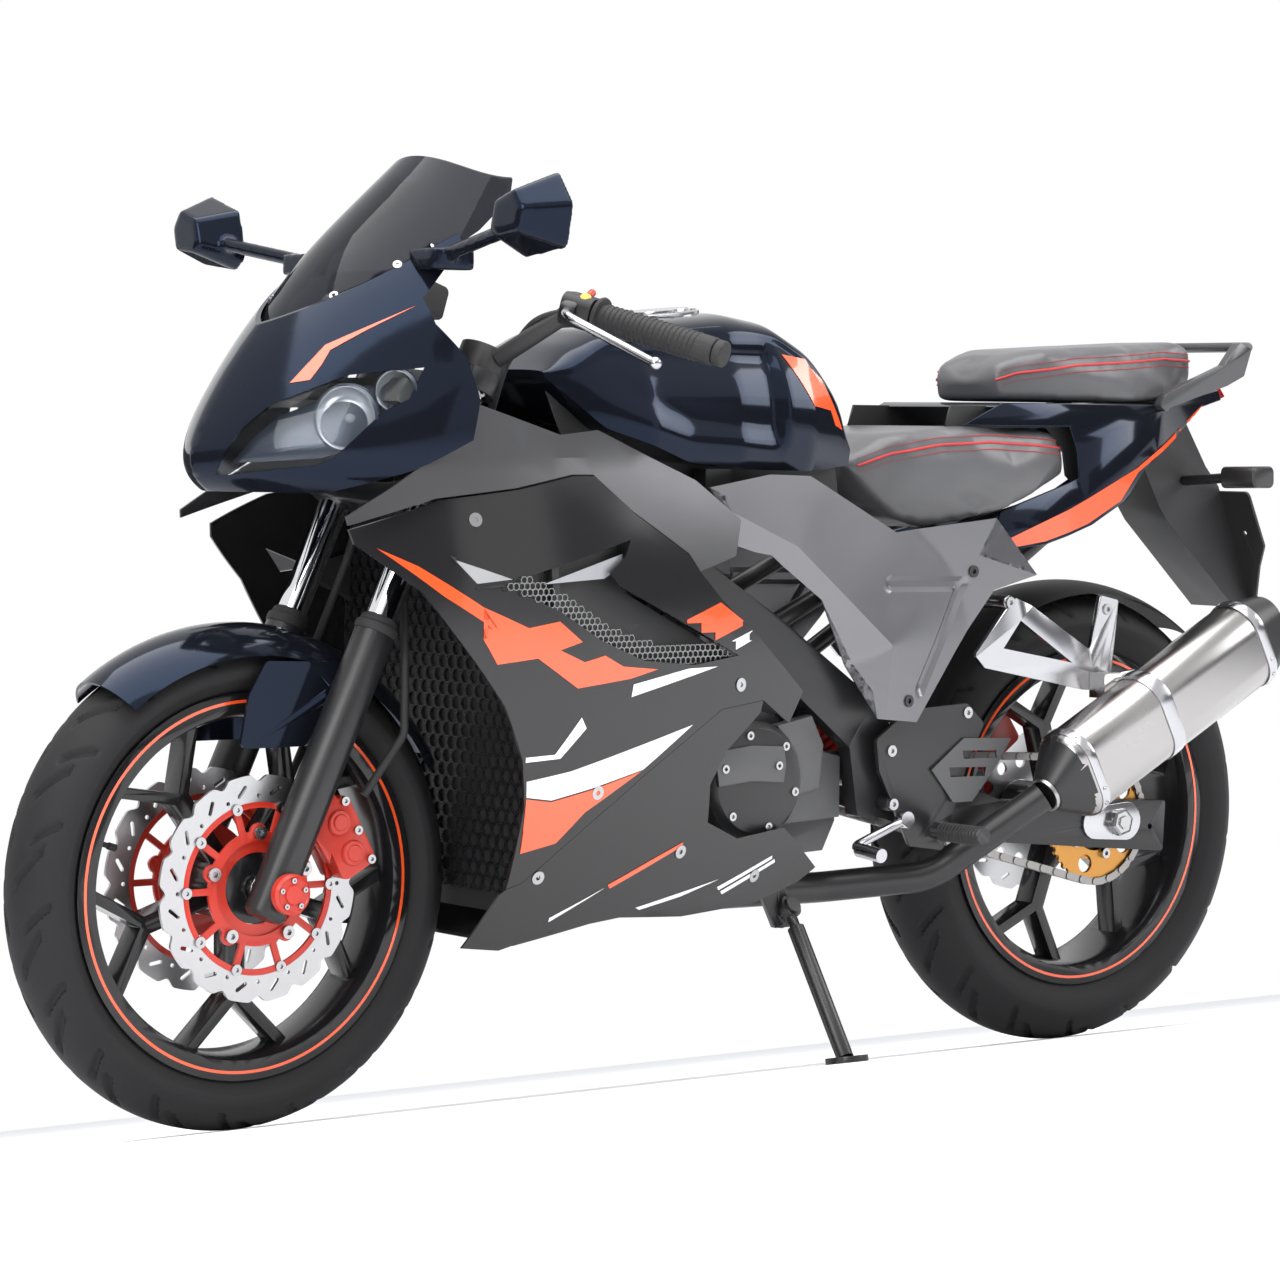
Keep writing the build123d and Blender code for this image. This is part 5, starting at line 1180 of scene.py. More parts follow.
for name, (u, v, radius) in reflectors.items():
    hit = onSurface(lensSurface, noseLeft, [(u, v)])[0][0]
    aim = (noseLeft["out"] + Vector((0.35, -0.1, 0.05))).normalized()
    seat = hit - aim * 0.036
    bowls.append(turned(name + "Bowl", seat, aim, [
        (radius, 0.020), (radius * 0.92, 0.012), (radius * 0.7, 0.003), (radius * 0.38, -0.003),
        (0.0001, -0.005), (0.0001, -0.007), (radius * 0.4, -0.005), (radius * 0.76, 0.001),
        (radius * 0.98, 0.011), (radius + 0.0015, 0.020)], 40))
    rings.append(turned(name + "Ring", seat, aim, [
        (radius + 0.001, 0.019), (radius + 0.001, 0.023), (radius + 0.004, 0.022),
        (radius + 0.005, 0.016)], 40))
    bulbs.append(turned(name + "Bulb", seat, aim, [
        (0.0001, 0.016), (0.003, 0.015), (0.0052, 0.012), (0.0056, 0.006), (0.0045, -0.003),
        (0.0001, -0.004)], 20))
place(bothSides(joinMeshes("lampBowls", bowls)), "headlamps", mat["reflectorSilver"])
place(bothSides(joinMeshes("lampRings", rings)), "headlamps", mat["lampShade"])
place(bothSides(joinMeshes("lampBulbs", bulbs)), "headlamps", mat["bulbGlass"])

# screen with its screws
dress("windscreen", mat["smokedScreen"], bevel=0.0, degrees=50)
screenSurface = surfaceOf(["windscreen"])
screwSpots = onSurface(screenSurface, noseLeft, [(-938, 988), (-864, 1025), (-827, 1046)])
screwSpots += [(flip @ spot, flip @ aim, flip @ side) for spot, aim, side in screwSpots]
setBolts("screenScrews", screwSpots, (0.0055, 0.003, 0.0025), "windscreen")

# mirrors: softened housings and their glasses, then the parts behind the screen
housings = copyNode("mirrors", "mirrorHousings")
voxelSkin(housings, 0.0028, 14)
smoothByAngle(housings, 60)
settle(housings, bodyOf["mirrors"], mat["glossBlack"], nodes=["mirrors"])
dress("mirror_glasses", mat["mirrorGlass"], bevel=0.0008)
dress("instruments", mat["mattBlack"], bevel=0.003, segments=2)
dress("fairing_stay", mat["satinBlack"], bevel=0.0)
print("fairing done")

# tank: smooth shell with knee recesses
tank = {
    "top": [(948, 905), (900, 938), (860, 957), (774, 972), (706, 979), (660, 983), (600, 974), (548, 942),
            (505, 890), (475, 826)],
    "low": [(946, 896), (880, 836), (760, 794), (640, 785), (549, 784), (474, 791)],
    "width": [(440, 96, 104, 78), (560, 128, 146, 104), (680, 138, 164, 122), (820, 128, 158, 112),
              (960, 74, 96, 64)],
    "levels": (770, 862, 950), "stations": 64, "rows": 34, "browShare": 0.62, "browTop": 948,
    "front": 946, "rear": 475, "kneeDepth": 15, "kneeRear": 606, "kneeFront": 905, "kneeTop": 946,
}


def readLine(line, x):
    spots = sorted(line)
    return float(np.interp(x, [spot[0] for spot in spots], [spot[1] for spot in spots]))


def soften(values, times):
    values = np.array(values)
    for _ in range(times):
        inner = (values[:-2] + 2 * values[1:-1] + values[2:]) / 4
        values[1:-1] = inner
    return values


def arcHalf(points, level):
    # half width at a level, on the curve through three (half width, level) points
    weights = []
    for index, (_, own) in enumerate(points):
        weight = 1.0
        for other, (_, otherLevel) in enumerate(points):
            if other != index:
                weight *= (level - otherLevel) / (own - otherLevel)
        weights.append(weight)
    return sum(weight * point[0] for weight, point in zip(weights, points))


places = np.linspace(tank["front"], tank["rear"], tank["stations"])
topLine = soften([readLine(tank["top"], x) for x in places], 1)
lowLine = soften([readLine(tank["low"], x) for x in places], 1)
verts = []
for x, top, low in zip(places, topLine, lowLine):
    halves = [readLine([(row[0], row[column]) for row in tank["width"]], x) for column in (1, 2, 3)]
    sideLine = list(zip(halves, tank["levels"]))
    brow = min(top - min(30, (top - low) * 0.45), tank["browTop"])
    for row in range(tank["rows"] + 1):
        share = row / tank["rows"]
        if share <= tank["browShare"]:
            z = low + (brow - low) * share / tank["browShare"]
            half = arcHalf(sideLine, z)
        else:
            turnIn = (share - tank["browShare"]) / (1 - tank["browShare"]) * math.pi / 2
            browHalf = arcHalf(sideLine, brow)
            z = brow + (top - brow) * math.sin(turnIn) ** 0.85
            half = browHalf * max(math.cos(turnIn), 0.0) ** 0.62
        knee = smoothStep((x - tank["kneeRear"]) / 16) * smoothStep((tank["kneeFront"] - x) / 110)
        knee = knee * smoothStep((z - low - 16) / 46) * smoothStep((tank["kneeTop"] - z) / 22)
        half -= tank["kneeDepth"] * float(knee)
        verts.append((x * 0.001, max(half, 0.0) * 0.001, z * 0.001))
count = tank["rows"] + 1
full = list(verts)
lefts = len(verts)
for x, y, z in verts:
    full.append((x, -y, z))
faces = []
for station in range(tank["stations"] - 1):
    for row in range(tank["rows"]):
        here, ahead = station * count + row, (station + 1) * count + row
        faces.append((here, here + 1, ahead + 1, ahead))
        faces.append((lefts + here, lefts + ahead, lefts + ahead + 1, lefts + here + 1))
    here, ahead = station * count, (station + 1) * count
    faces.append((here, ahead, lefts + ahead, lefts + here))
for station in (0, tank["stations"] - 1):
    row = [station * count + spot for spot in range(count)]
    other = [lefts + station * count + spot for spot in range(count - 1)]
    faces.append(row + other[::-1])
shell = addObject("tankShell", meshFrom("tankShell", full, faces))
faceOut(shell, 1e-5)
smoothByAngle(shell, 48)
place(shell, "fuel_tank", mat["glossBlack"], ["fuel_tank"])
tankSurface = BVHTree.FromPolygons([Vector(vert) for vert in full], faces)
tankSlashes = {
    "tankSlashUpper": [(598, 930), (560, 925), (520, 860), (560, 866)],
    "tankSlashLower": [(552, 914), (536, 900), (498, 836), (514, 842)],
}
for name, outline in tankSlashes.items():
    place(bothSides(patch(name, outline, tankSurface, sideLeft)), "fuel_tank", mat["orangeStripe"])

# filler: ring with screws round the cap, hinge ears
filler = {"screws": 7, "first": 30, "step": 50, "ring": 0.051, "rise": 0.003, "hinge": 0.0510}
capMiddle = mm(706, 0, 979.5)
capAim = Vector((0.1131, 0, 0.9936)).normalized()
ring = turned("fillerRing", capMiddle, capAim, [
    (0.0452, -0.012), (0.0452, 0.0015), (0.0475, 0.0030), (0.0545, 0.0030), (0.0575, 0.0012),
    (0.0575, -0.012)], 64, seam=across)
place(ring, "fuel_tank", mat["polishedAlloy"])
capSide = across.cross(capAim)
fillerSpots = []
for screw in range(filler["screws"]):
    angle = math.radians(filler["first"] + filler["step"] * screw)
    spoke = capSide * math.cos(angle) + across * math.sin(angle)
    fillerSpots.append((capMiddle + spoke * filler["ring"] + capAim * filler["rise"], capAim, across))
setBolts("fillerScrews", fillerSpots, (0.0036, 0.0028, 0.0018), "fuel_tank")
dress("fuel_cap", mat["polishedAlloy"], bevel=0.0012, segments=2)
ears = []
for side in (1, -1):
    spot = capMiddle + forward * filler["hinge"] + across * (side * 0.0145)
    ears.append(turned("hingeEar", spot, across * side, [
        (0.0001, 0), (0.0042, 0), (0.0046, 0.0006), (0.0046, 0.006), (0.0001, 0.006)], 18))
place(joinMeshes("hingeEars", ears), "fuel_tank", mat["polishedAlloy"])
print("tank done")

# seats: voxel skin swollen by cloth pressure, then piping and stitches along the side
seats = {
    "rider_seat": {
        "name": "riderPad", "cap": 0.005,
        "line": [(100, 815), (170, 819), (250, 822), (330, 818), (400, 806), (440, 790)],
    },
    "pillion_seat": {
        "name": "pillionPad", "cap": 0.005,
        "line": [(-182, 936), (-120, 938), (-40, 932), (60, 926), (150, 914), (174, 905)],
    },
}


def swell(obj, cap):
    # the pad's foot is held and its top and sides fill out
    low = min(vert.co.z for vert in obj.data.vertices)
    high = max(vert.co.z for vert in obj.data.vertices)
    held = obj.vertex_groups.new(name="held")
    for vert in obj.data.vertices:
        share = (vert.co.z - low) / (high - low)
        held.add([vert.index], 1.0 if share < 0.22 else 0.0, "REPLACE")
    before = np.array([vert.co for vert in obj.data.vertices])
    cloth = obj.modifiers.new("cloth", "CLOTH")
    cloth.settings.quality = 4
    cloth.settings.vertex_group_mass = "held"
    cloth.settings.use_pressure = True
    cloth.settings.uniform_pressure_force = 4
    cloth.settings.effector_weights.gravity = 0
    cloth.settings.tension_stiffness = 20
    cloth.settings.compression_stiffness = 20
    cloth.settings.bending_stiffness = 4
    cloth.collision_settings.use_collision = False
    cloth.point_cache.frame_start = 1
    cloth.point_cache.frame_end = 20
    for step in range(1, 21):
        bpy.context.scene.frame_set(step)
    bakeModifiers(obj)
    after = np.array([vert.co for vert in obj.data.vertices])
    move = after - before
    length = np.linalg.norm(move, axis=1)
    scale = np.where(length > cap, cap / np.maximum(length, 1e-9), 1.0)
    for vert, spot in zip(obj.data.vertices, before + move * scale[:, None]):
        vert.co = spot
    bpy.context.scene.frame_set(1)
    return obj


padSurfaces = {}
for node, seat in seats.items():
    pad = copyNode(node, seat["name"])
    pad.data.transform(toBike)
    shrink = pad.modifiers.new("shrink", "DISPLACE")
    shrink.strength = -0.002
    shrink.mid_level = 0.0
    voxelSkin(pad, 0.0055, 7)
    swell(pad, seat["cap"])
    calm = pad.modifiers.new("calm", "SMOOTH")
    calm.factor = 0.5
    calm.iterations = 10
    finer = pad.modifiers.new("finer", "SUBSURF")
    finer.levels = 1
    finer.render_levels = 1
    bakeModifiers(pad)
    for poly in pad.data.polygons:
        poly.use_smooth = True
    padSurfaces[node] = meshSurface(pad)
    place(pad, node, mat["seatVinyl"], [node])
print("seats swollen")

for node, seat in seats.items():
    for row, (drop, kind) in enumerate(((0.0, "piping"), (-9.0, "stitch"), (9.0, "stitch"))):
        path, aims = [], []
        line = seat["line"]
        for step in range(64):
            x = line[0][0] + (line[-1][0] - line[0][0]) * step / 63
            z = readLine(line, x) + drop
            hit, normal, _, _ = padSurfaces[node].ray_cast(mm(x, 500, z), -across)
            if hit is not None:
                path.append(hit + normal * 0.0004)
                aims.append(normal)
        if len(path) < 12:
            continue
        if kind == "piping":
            cord = tube(seat["name"] + "Piping", path, 0.0018)
            place(bothSides(cord), node, mat["redThread"])
            continue
        spots = []
        for step in range(1, len(path) - 1):
            along = (path[step + 1] - path[step - 1]).normalized()
            for share in (0.0, 0.5):
                spot = path[step].lerp(path[step + 1], share)
                spots.append((spot, along, aims[step]))
                spots.append((flip @ spot, flip @ along, flip @ aims[step]))
        threads = {"Length": 0.0036, "Thread Radius": 0.0005}
        stitches = setSpots(seat["name"] + f"Stitch{row}", spots, stitchTree, threads, mat["redThread"])
        place(stitches, node, None)

# tail: gloss shell with a rising stripe, lamp, rails
dress("tail_cowl", mat["glossBlack"], bevel=0.0015)
tailSurface = surfaceOf(["tail_cowl"])
tailStripe = [(228, 682), (206, 694), (62, 747), (-42, 788), (-192, 870), (-205, 876), (-150, 840),
              (-45, 783), (-8, 744), (60, 714), (141, 691), (206, 682)]
place(bothSides(patch("tailStripe", tailStripe, tailSurface, sideLeft)), "tail_cowl", mat["orangeStripe"])
dress("tail_lamp", mat["redLens"], bevel=0.0015)
dress("grab_rails", mat["railGray"], bevel=0.004, segments=3)
dress("rear_mudguard", mat["mattBlack"], bevel=0.0015)
tailSignals = dress("rear_indicators", mat["satinBlack"], bevel=0.004, segments=3)
tailSignals.data.materials.append(mat["darkLens"])
for poly in tailSignals.data.polygons:
    if poly.normal.x < -0.7:
        poly.material_index = 1
dress("hugger", mat["mattBlack"], bevel=0.0)
dress("subframe", mat["satinBlack"], bevel=0.0015)
dress("main_frame", mat["satinBlack"], bevel=0.003, segments=2)
dress("swingarm", mat["satinBlack"], bevel=0.003, segments=3)
dress("stand_bracket", mat["satinBlack"], bevel=0.001)
dress("side_stand", mat["satinBlack"], bevel=0.001)

# plate board: ribs and corner bolts on its rear face
board = {
    "middle": mm(-291, 0, 697),
    "right": Vector((0, -1, 0)),
    "out": Vector((-0.93, 0, 0.3676)).normalized(),
    "thick": 0.004,
    "ribs": ((-0.075, 0.050, -0.030), (0.075, 0.050, -0.030), (-0.045, -0.030, -0.100),
             (0.045, -0.030, -0.100)),
    "bolts": ((-0.086, 0.052), (0.086, 0.052), (-0.042, -0.100), (0.042, -0.100)),
}
boardUp = board["out"].cross(board["right"])
ribs = []
for u, start, end in board["ribs"]:
    foot = board["middle"] + board["right"] * u + board["out"] * (board["thick"] + 0.0006)
    path = [foot + boardUp * start, foot + boardUp * (start + end) / 2, foot + boardUp * end]
    ribs.append(tube("boardRib", path, 0.0022))
place(joinMeshes("boardRibs", ribs), "rear_mudguard", mat["mattBlack"])
boltSpots = []
for u, v in board["bolts"]:
    spot = board["middle"] + board["right"] * u + boardUp * v + board["out"] * board["thick"]
    boltSpots.append((spot, board["out"], boardUp))
setBolts("boardBolts", boltSpots, (0.005, 0.0035, 0.0024), "rear_mudguard")
print("tail done")

# silencer: brushed sleeve, dark end cap and inlet, three bands, rivets, outlet lip and pipe clamp
silencer = {"start": mm(165, 205, 385), "end": mm(-160, 205, 555), "width": 0.088, "height": 0.122,
            "corner": 0.040, "cap": 0.046}
muffAim = (silencer["end"] - silencer["start"]).normalized()
muffUp = muffAim.cross(across).normalized()
muffLength = (silencer["end"] - silencer["start"]).length
sleeve = dress("muffler", mat["brushedSteel"], bevel=0.0, degrees=28)
sleeve.data.materials.append(mat["satinBlack"])
for poly in sleeve.data.polygons:
    travel = (toBike @ poly.center - silencer["start"]).dot(muffAim)
    if travel > muffLength + 0.0005 or travel < -0.004:
        poly.material_index = 1


def roundedSection(grow, travel):
    # the silencer's rounded outline, a little larger, at a distance along it
    corner = silencer["corner"] + grow
    halfWide = silencer["width"] / 2 + grow - corner
    halfTall = silencer["height"] / 2 + grow - corner
    loop = []
    for index, (wide, tall) in enumerate(((1, 1), (-1, 1), (-1, -1), (1, -1))):
        first = 90 * index
        for u, v in arcPoints((wide * halfWide, tall * halfTall), corner, first, first + 90, 12):
            loop.append(silencer["start"] + muffAim * travel + across * u + muffUp * v)
    return loop


def band(name, start, width, thick):
    rings = [roundedSection(grow, travel) for grow, travel in (
        (0.0002, start), (thick, start), (thick + 0.0006, start + width * 0.2),
        (thick + 0.0006, start + width * 0.8), (thick, start + width), (0.0002, start + width))]
    verts = [spot for ring in rings for spot in ring]
    return solidFrom(name, verts, ringFaces(len(rings), len(rings[0])), 35)


bands = [
    band("frontBand", 0.004, 0.014, 0.0015),
    band("hangerBand", 0.150, 0.022, 0.0018),
    band("rearBand", muffLength - 0.016, 0.015, 0.0016),
]
place(joinMeshes("silencerBands", bands), "muffler", mat["polishedAlloy"])
rivetSpots = []
for travel in (0.011, muffLength - 0.0085):
    for spot in roundedSection(0.0021, travel)[::4]:
        middle = silencer["start"] + muffAim * travel
        rivetSpots.append((spot, (spot - middle).normalized(), muffAim))
setBolts("silencerRivets", rivetSpots, (0.003, 0.0018, 0.0008), "muffler")
capFace = silencer["end"] + muffAim * (silencer["cap"] - 0.012)
outlet = turned("outletLip", capFace, muffAim, [
    (0.0200, 0.0), (0.0200, 0.0135), (0.0215, 0.0150), (0.0240, 0.0140), (0.0245, 0.0115),
    (0.0245, 0.0)], 40)
place(outlet, "muffler", mat["brushedSteel"])
dress("exhaust_pipe", mat["satinBlack"], bevel=0.0)
pipeClamp = turned("pipeClamp", silencer["start"] - muffAim * 0.052, muffAim, [
    (0.0205, 0.0), (0.0228, 0.0), (0.0235, 0.003), (0.0235, 0.013), (0.0228, 0.016), (0.0205, 0.016)], 36)
place(pipeClamp, "exhaust_pipe", mat["brushedSteel"])

# swing arm ends: bright adjuster plates and adjuster screws
ends = []
for side in (1, -1):
    edge = arcPoints((-0.018, 0.310), 0.026, 90, 270, 12) + arcPoints((0.040, 0.310), 0.022, -90, 90, 10)
    ends.append(plate("armEnd", [edge], side * 0.1225, 0.004, 0.0008))
armEnds = joinMeshes("armEnds", ends)
smoothByAngle(armEnds, 32)
place(armEnds, "swingarm", mat["polishedAlloy"])
screwSpots = [(Vector((-0.046, side * 0.106, 0.310)), -forward, across) for side in (1, -1)]
setBolts("adjusters", screwSpots, (0.0085, 0.012, 0.004), "swingarm")

# shock: spring wound between its two ends
dress("shock_absorber", mat["satinBlack"], bevel=0.0)
shock = {"endBand": 0.012, "springFrom": 0.22, "springTo": 0.78, "radius": 0.031, "wire": 0.0055, "turns": 7}
shockSpots = [toBike @ vert.co for vert in frame["nodes"]["shock_absorber"].data.vertices]
lowEnd = min(spot.z for spot in shockSpots)
highEnd = max(spot.z for spot in shockSpots)
footSpots = [spot for spot in shockSpots if spot.z < lowEnd + shock["endBand"]]
headSpots = [spot for spot in shockSpots if spot.z > highEnd - shock["endBand"]]
foot = sum(footSpots, Vector()) / len(footSpots)
head = sum(headSpots, Vector()) / len(headSpots)


def coil(name, start, end, radius, wire, turns):
    aim = (end - start).normalized()
    first = aim.orthogonal().normalized()
    second = aim.cross(first)
    path = []
    for step in range(turns * 18 + 1):
        angle = 2 * math.pi * step / 18
        middle = start.lerp(end, step / (turns * 18))
        path.append(middle + first * (radius * math.cos(angle)) + second * (radius * math.sin(angle)))
    return tube(name, path, wire)


springFoot = foot.lerp(head, shock["springFrom"])
springHead = foot.lerp(head, shock["springTo"])
spring = coil("shockSpring", springFoot, springHead, shock["radius"], shock["wire"], shock["turns"])
place(spring, "shock_absorber", mat["redPaint"])

# engine: gray castings with fins, dark covers, a strap over the generator cover, a starter block
dress("engine", mat["castGray"], bevel=0.004, segments=2)
covers = dress("engine_covers", mat["satinBlack"], bevel=0.002, segments=3)
covers.data.materials.append(mat["castGray"])
for poly in covers.data.polygons:
    spot = toBike @ poly.center
    if spot.x < 0.5915 and spot.y > 0:
        poly.material_index = 1
strapEdge = [(0.712, 0.436), (0.660, 0.441), (0.608, 0.438), (0.604, 0.415), (0.608, 0.392), (0.660, 0.396),
             (0.712, 0.391), (0.716, 0.414)]
strap = plate("coverStrap", [strapEdge], 0.1495, 0.006, 0.0014)
smoothByAngle(strap, 30)
place(strap, "engine_covers", mat["castGray"])
engineCovers = {
    "left": mm(645, 0, 395), "leftRing": (6, 15, 0.060, 0.148),
    "right": mm(610, 0, 400), "rightRing": (6, 15, 0.064, 0.142),
    "strapBolts": ((703, 152.5, 413), (617, 152.5, 414)),
}
coverSpots = [(mm(*spot), across, forward) for spot in engineCovers["strapBolts"]]
coverSpots += ringSpots(engineCovers["left"], across, *engineCovers["leftRing"])
coverSpots += ringSpots(engineCovers["right"], -across, *engineCovers["rightRing"])
setBolts("coverBolts", coverSpots, (0.0055, 0.004, 0.0028), "engine_covers")
blockEdge = [(0.607, 0.463), (0.548, 0.474), (0.528, 0.436), (0.535, 0.379), (0.600, 0.366), (0.584, 0.400),
             (0.586, 0.440)]
block = plate("starterBlock", [blockEdge], 0.126, 0.019, 0.004)
smoothByAngle(block, 30)
place(block, "engine_covers", mat["castGray"])
fins = []
finAim = Vector((0.112, 0, 0.215)).normalized()
finSide = Vector((finAim.z, 0, -finAim.x))
finLook = {
    "count": 7, "first": mm(717, 0, 486), "pitch": 0.024, "half": 0.074, "halfThick": 0.0022, "width": 0.176,
}
for fin in range(finLook["count"]):
    middle = finLook["first"] + finAim * (finLook["pitch"] * fin)
    edge = []
    for u, v in ((-1, -1), (1, -1), (1, 1), (-1, 1)):
        spot = middle + finSide * (u * finLook["half"]) + finAim * (v * finLook["halfThick"])
        edge.append((spot.x, spot.z))
    fins.append(plate("fin", [edge], 0, finLook["width"], 0.0012))
place(joinMeshes("cylinderFins", fins), "engine", mat["castGray"])

# frame covers: panels that fall away from a crease, with an angled groove and two bolts
cover = {
    "edge": [(750, 764), (647, 780), (579, 778), (431, 706), (254, 723), (284, 675), (181, 648), (257, 629),
             (325, 553), (401, 462), (472, 469), (478, 505), (563, 622), (645, 679), (669, 683), (701, 692),
             (726, 754)],
    "crease": [(760, 752), (610, 690), (452, 563), (462, 455)],
    "front": [(560, 400), (800, 600)],
    "crest": 177,
    "fall": 24,
    "frontRun": 64,
    "rearRun": 150,
    "groove": [(446, 640), (314, 638), (394, 506)],
    "grooveHalf": 10,
    "grooveFloor": 3.5,
    "grooveDepth": 5,
    "bolts": [(294, 654), (418, 490)],
    "cell": 0.0055,
}
work = fillOutline(cover["edge"], sideLeft, cover["cell"])
grooveCuts = (-cover["grooveHalf"], -cover["grooveFloor"], cover["grooveFloor"], cover["grooveHalf"])
for line, offsets in ((cover["crease"], (0,)), (cover["groove"], grooveCuts)):
    for (u0, v0), (u1, v1) in zip(line, line[1:]):
        aim = Vector((v0 - v1, 0, u1 - u0)).normalized()
        for offset in offsets:
            cutAt(work, mm(u0, 0, v0) + aim * (offset * 0.001), aim)
ahead = cover["crease"] + cover["front"]
grooveWall = cover["grooveHalf"] - cover["grooveFloor"]
for vert in work.verts:
    u = vert.co.x * 1000
    v = vert.co.z * 1000
    run = cover["frontRun"] if insideOutline(ahead, u, v) else cover["rearRun"]
    drop = cover["fall"] * min(lineDistance(cover["crease"], u, v) / run, 1)
    into = (cover["grooveHalf"] - lineDistance(cover["groove"], u, v)) / grooveWall
    vert.co.y = (cover["crest"] - drop - cover["grooveDepth"] * min(1, max(0, into))) * 0.001
turnFaces(work, across)
panel = workToObject(work, "coverPanel")
wall = panel.modifiers.new("wall", "SOLIDIFY")
wall.thickness = 0.0035
wall.offset = -1
bakeModifiers(panel)
smoothByAngle(panel, 24)
frameSpots = onSurface(meshSurface(panel), sideLeft, cover["bolts"])
frameSpots += [(flip @ spot, flip @ aim, flip @ side) for spot, aim, side in frameSpots]
setBolts("frameCoverBolts", frameSpots, (0.008, 0.004, 0.0036), "frame_cover_left", "satinBlack")
for node, obj in (("frame_cover_right", mirrored(panel, "coverPanelRight")), ("frame_cover_left", panel)):
    place(obj, node, mat["grayPanel"], [node])

# footrests: hangers with rubber ribs on the pegs, pedals, pillion brackets
dress("footrests", mat["satinBlack"], bevel=0.0015)
dress("foot_levers", mat["polishedAlloy"], bevel=0.0)
dress("pillion_footrests", mat["polishedAlloy"], bevel=0.0015)
pegSpots = []
pegs = {"x": 0.352, "z": 0.318, "ribs": 12, "first": 0.168, "pitch": 0.0065}
for rib in range(pegs["ribs"]):
    for side in (1, -1):
        y = side * (pegs["first"] + rib * pegs["pitch"])
        pegSpots.append((Vector((pegs["x"], y, pegs["z"])), across, forward))
pegRibs = {"Ring Radius": 0.0112, "Bead Radius": 0.0016}
place(setSpots("pegRibs", pegSpots, ringTree, pegRibs, mat["gripRubber"]), "footrests", None)
hangerSpots = []
hangers = ((0.430, 0.152, 0.425), (0.426, 0.152, 0.356), (0.300, 0.152, 0.470), (0.226, 0.150, 0.612),
           (0.050, 0.150, 0.600))
for x, y, z in hangers:
    for side in (1, -1):
        hangerSpots.append((Vector((x, side * y, z)), across * side, forward))
setBolts("hangerBolts", hangerSpots, (0.0075, 0.005, 0.0036), "footrests")

# heel guards: slotted plates on the hangers' outer faces
guard = {
    "edge": [(0.363, 0.398), (0.307, 0.437), (0.226, 0.434), (0.249, 0.401), (0.293, 0.354),
             (0.326, 0.354)],
    "slots": ([(0.311, 0.421), (0.251, 0.419), (0.249, 0.409), (0.309, 0.410)],
              [(0.334, 0.400), (0.268, 0.398), (0.270, 0.386), (0.331, 0.387)]),
    "face": 0.1542,
    "thick": 0.004,
}
guardEdges = [guard["edge"], *guard["slots"]]
guards = [plate("heelGuard", guardEdges, side * guard["face"], guard["thick"]) for side in (1, -1)]
place(joinMeshes("heelGuards", guards), "footrests", mat["castGray"])

# dark side plates under the tank and beside the seat close the view through the frame
skirtEdge = [(0.940, 0.880), (0.880, 0.838), (0.760, 0.797), (0.560, 0.788), (0.480, 0.790), (0.470, 0.730),
             (0.560, 0.700), (0.760, 0.720), (0.900, 0.790)]
hollowEdge = [(0.300, 0.838), (0.120, 0.842), (0.088, 0.812), (0.082, 0.778), (0.060, 0.760),
              (0.060, 0.870), (0.290, 0.870)]
skirts = [plate("tankSkirt", [skirtEdge], side * 0.090, 0.003, 0.0006) for side in (1, -1)]
skirts += [plate("tailWell", [hollowEdge], side * 0.098, 0.003, 0.0006) for side in (1, -1)]
place(joinMeshes("tankSkirts", skirts), "fuel_tank", mat["mattBlack"])
print("rear and engine done")

# camera: fitted to the photograph, so it leans with the machine
photo = {
    "place": (3.897, 4.148, 0.841),
    "azimuth": 37.43,
    "elevation": 3.0,
    "roll": 0.61,
    "focal": 4121,
    "pixels": 1280,
}
azimuth = math.radians(photo["azimuth"])
elevation = math.radians(photo["elevation"])
roll = math.radians(photo["roll"])
level = math.cos(elevation)
back = Vector((level * math.sin(azimuth), level * math.cos(azimuth), math.sin(elevation)))
right = (-back).cross(Vector((0, 0, 1))).normalized()
above = right.cross(-back)
sideways = right * math.cos(roll) + above * math.sin(roll)
upwards = above * math.cos(roll) - right * math.sin(roll)
turn = Matrix((sideways, upwards, back)).transposed().to_4x4()
camera = bpy.data.objects.new("camera", bpy.data.cameras.new("camera"))
bpy.context.scene.collection.objects.link(camera)
camera.data.sensor_width = 36
camera.data.lens = photo["focal"] / photo["pixels"] * 36
camera.data.clip_end = 60
camera.matrix_world = toRow @ (Matrix.Translation(Vector(photo["place"])) @ turn)
bpy.context.scene.camera = camera

# floor and light
floorEdge = [(-14, -14, 0), (14, -14, 0), (14, 14, 0), (-14, 14, 0)]
floor = addObject("floor", meshFrom("floor", floorEdge, [(0, 1, 2, 3)]))
floor.data.materials.append(makePlain("paleFloor", (0.93, 0.93, 0.93), 0.9, 0.1))

# dark cards that only gloss sees, so metal and paint show an edge between horizon and sky
cards = {"radius": 7.0, "low": 0.02, "high": 2.3, "sectors": ((-160, -78), (-52, 96), (122, 176))}
cardMat = makePlain("darkCard", (0.045, 0.045, 0.05), 1.0, 0.0)
for index, (first, last) in enumerate(cards["sectors"]):
    spots, quads = [], []
    for step in range(17):
        angle = math.radians(first + (last - first) * step / 16)
        for height in (cards["low"], cards["high"]):
            spots.append((cards["radius"] * math.cos(angle), cards["radius"] * math.sin(angle), height))
        if step:
            quads.append((2 * step - 2, 2 * step, 2 * step + 1, 2 * step - 1))
    card = addObject(f"card{index}", meshFrom(f"card{index}", spots, quads))
    card.data.materials.append(cardMat)
    card.visible_camera = False
    card.visible_diffuse = False
    card.visible_shadow = False
    card.visible_transmission = False

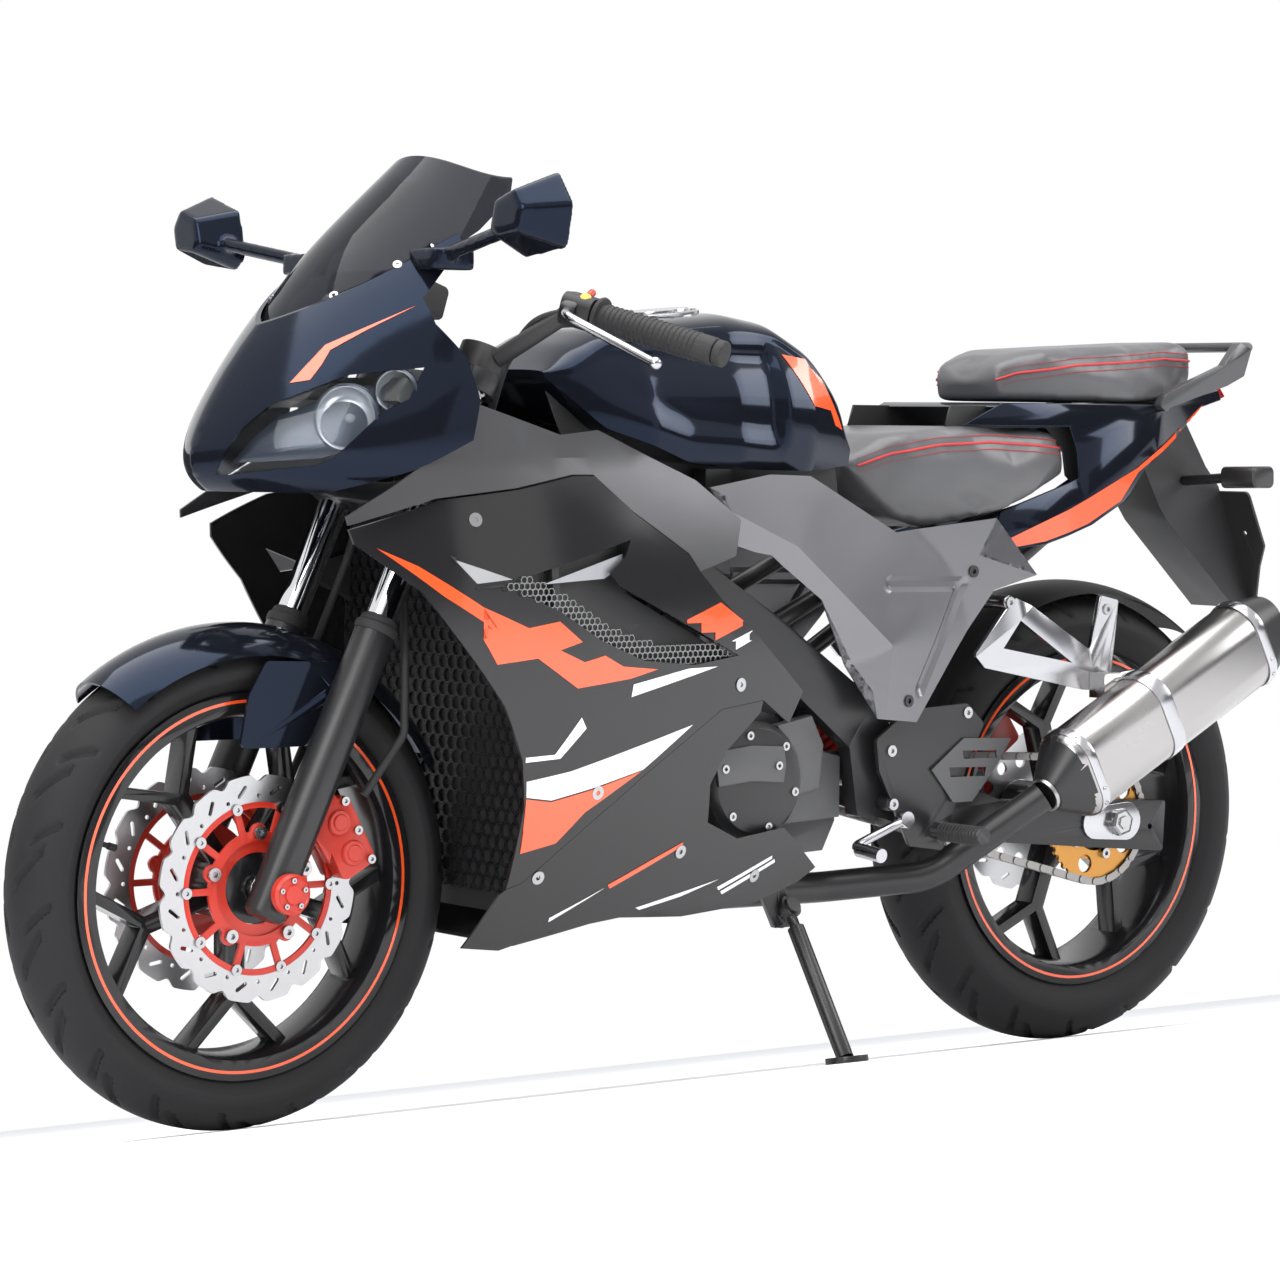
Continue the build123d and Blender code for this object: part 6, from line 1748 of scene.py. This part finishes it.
lamps = {
    "skyLamp": {"place": (0.6, 0.8, 4.2), "size": 4.5, "power": 260},
    "frontLamp": {"place": (4.2, 2.6, 2.4), "size": 2.5, "power": 120},
    "tailLamp": {"place": (-3.6, 2.4, 2.2), "size": 2.0, "power": 70},
}
for name, lamp in lamps.items():
    light = bpy.data.lights.new(name, "AREA")
    light.energy = lamp["power"]
    light.size = lamp["size"]
    lampObject = bpy.data.objects.new(name, light)
    lampObject.location = lamp["place"]
    sight = Vector((0, 0, 0.5)) - Vector(lamp["place"])
    lampObject.rotation_euler = sight.to_track_quat("-Z", "Y").to_euler()
    bpy.context.scene.collection.objects.link(lampObject)

world = bpy.data.worlds.new("studio")
bpy.context.scene.world = world
world.use_nodes = True
tree = world.node_tree
background = tree.nodes["Background"]
paths = addNode(tree, "ShaderNodeLightPath")
seen = addNode(tree, "ShaderNodeMath", operation="MAXIMUM")
tree.links.new(paths.outputs["Is Camera Ray"], seen.inputs[0])
tree.links.new(paths.outputs["Is Glossy Ray"], seen.inputs[1])
shown = addNode(tree, "ShaderNodeMath", operation="MAXIMUM")
tree.links.new(seen.outputs[0], shown.inputs[0])
tree.links.new(paths.outputs["Is Transmission Ray"], shown.inputs[1])
coords = addNode(tree, "ShaderNodeTexCoord")
split = addNode(tree, "ShaderNodeSeparateXYZ")
tree.links.new(coords.outputs["Generated"], split.inputs[0])
rise = addNode(tree, "ShaderNodeValToRGB")
rise.color_ramp.elements[0].position = 0.0
rise.color_ramp.elements[0].color = (0.16, 0.17, 0.2, 1)
rise.color_ramp.elements[1].position = 0.55
rise.color_ramp.elements[1].color = (0.95, 0.96, 1.0, 1)
tree.links.new(split.outputs["Z"], rise.inputs["Fac"])
skyMix = addNode(tree, "ShaderNodeMix", data_type="RGBA")
skyMix.inputs["B"].default_value = (1, 1, 1, 1)
tree.links.new(shown.outputs[0], skyMix.inputs["Factor"])
tree.links.new(rise.outputs["Color"], skyMix.inputs["A"])
tree.links.new(skyMix.outputs["Result"], background.inputs["Color"])
background.inputs["Strength"].default_value = 1.0
bpy.context.scene.view_settings.view_transform = "Standard"

print("scene ready")
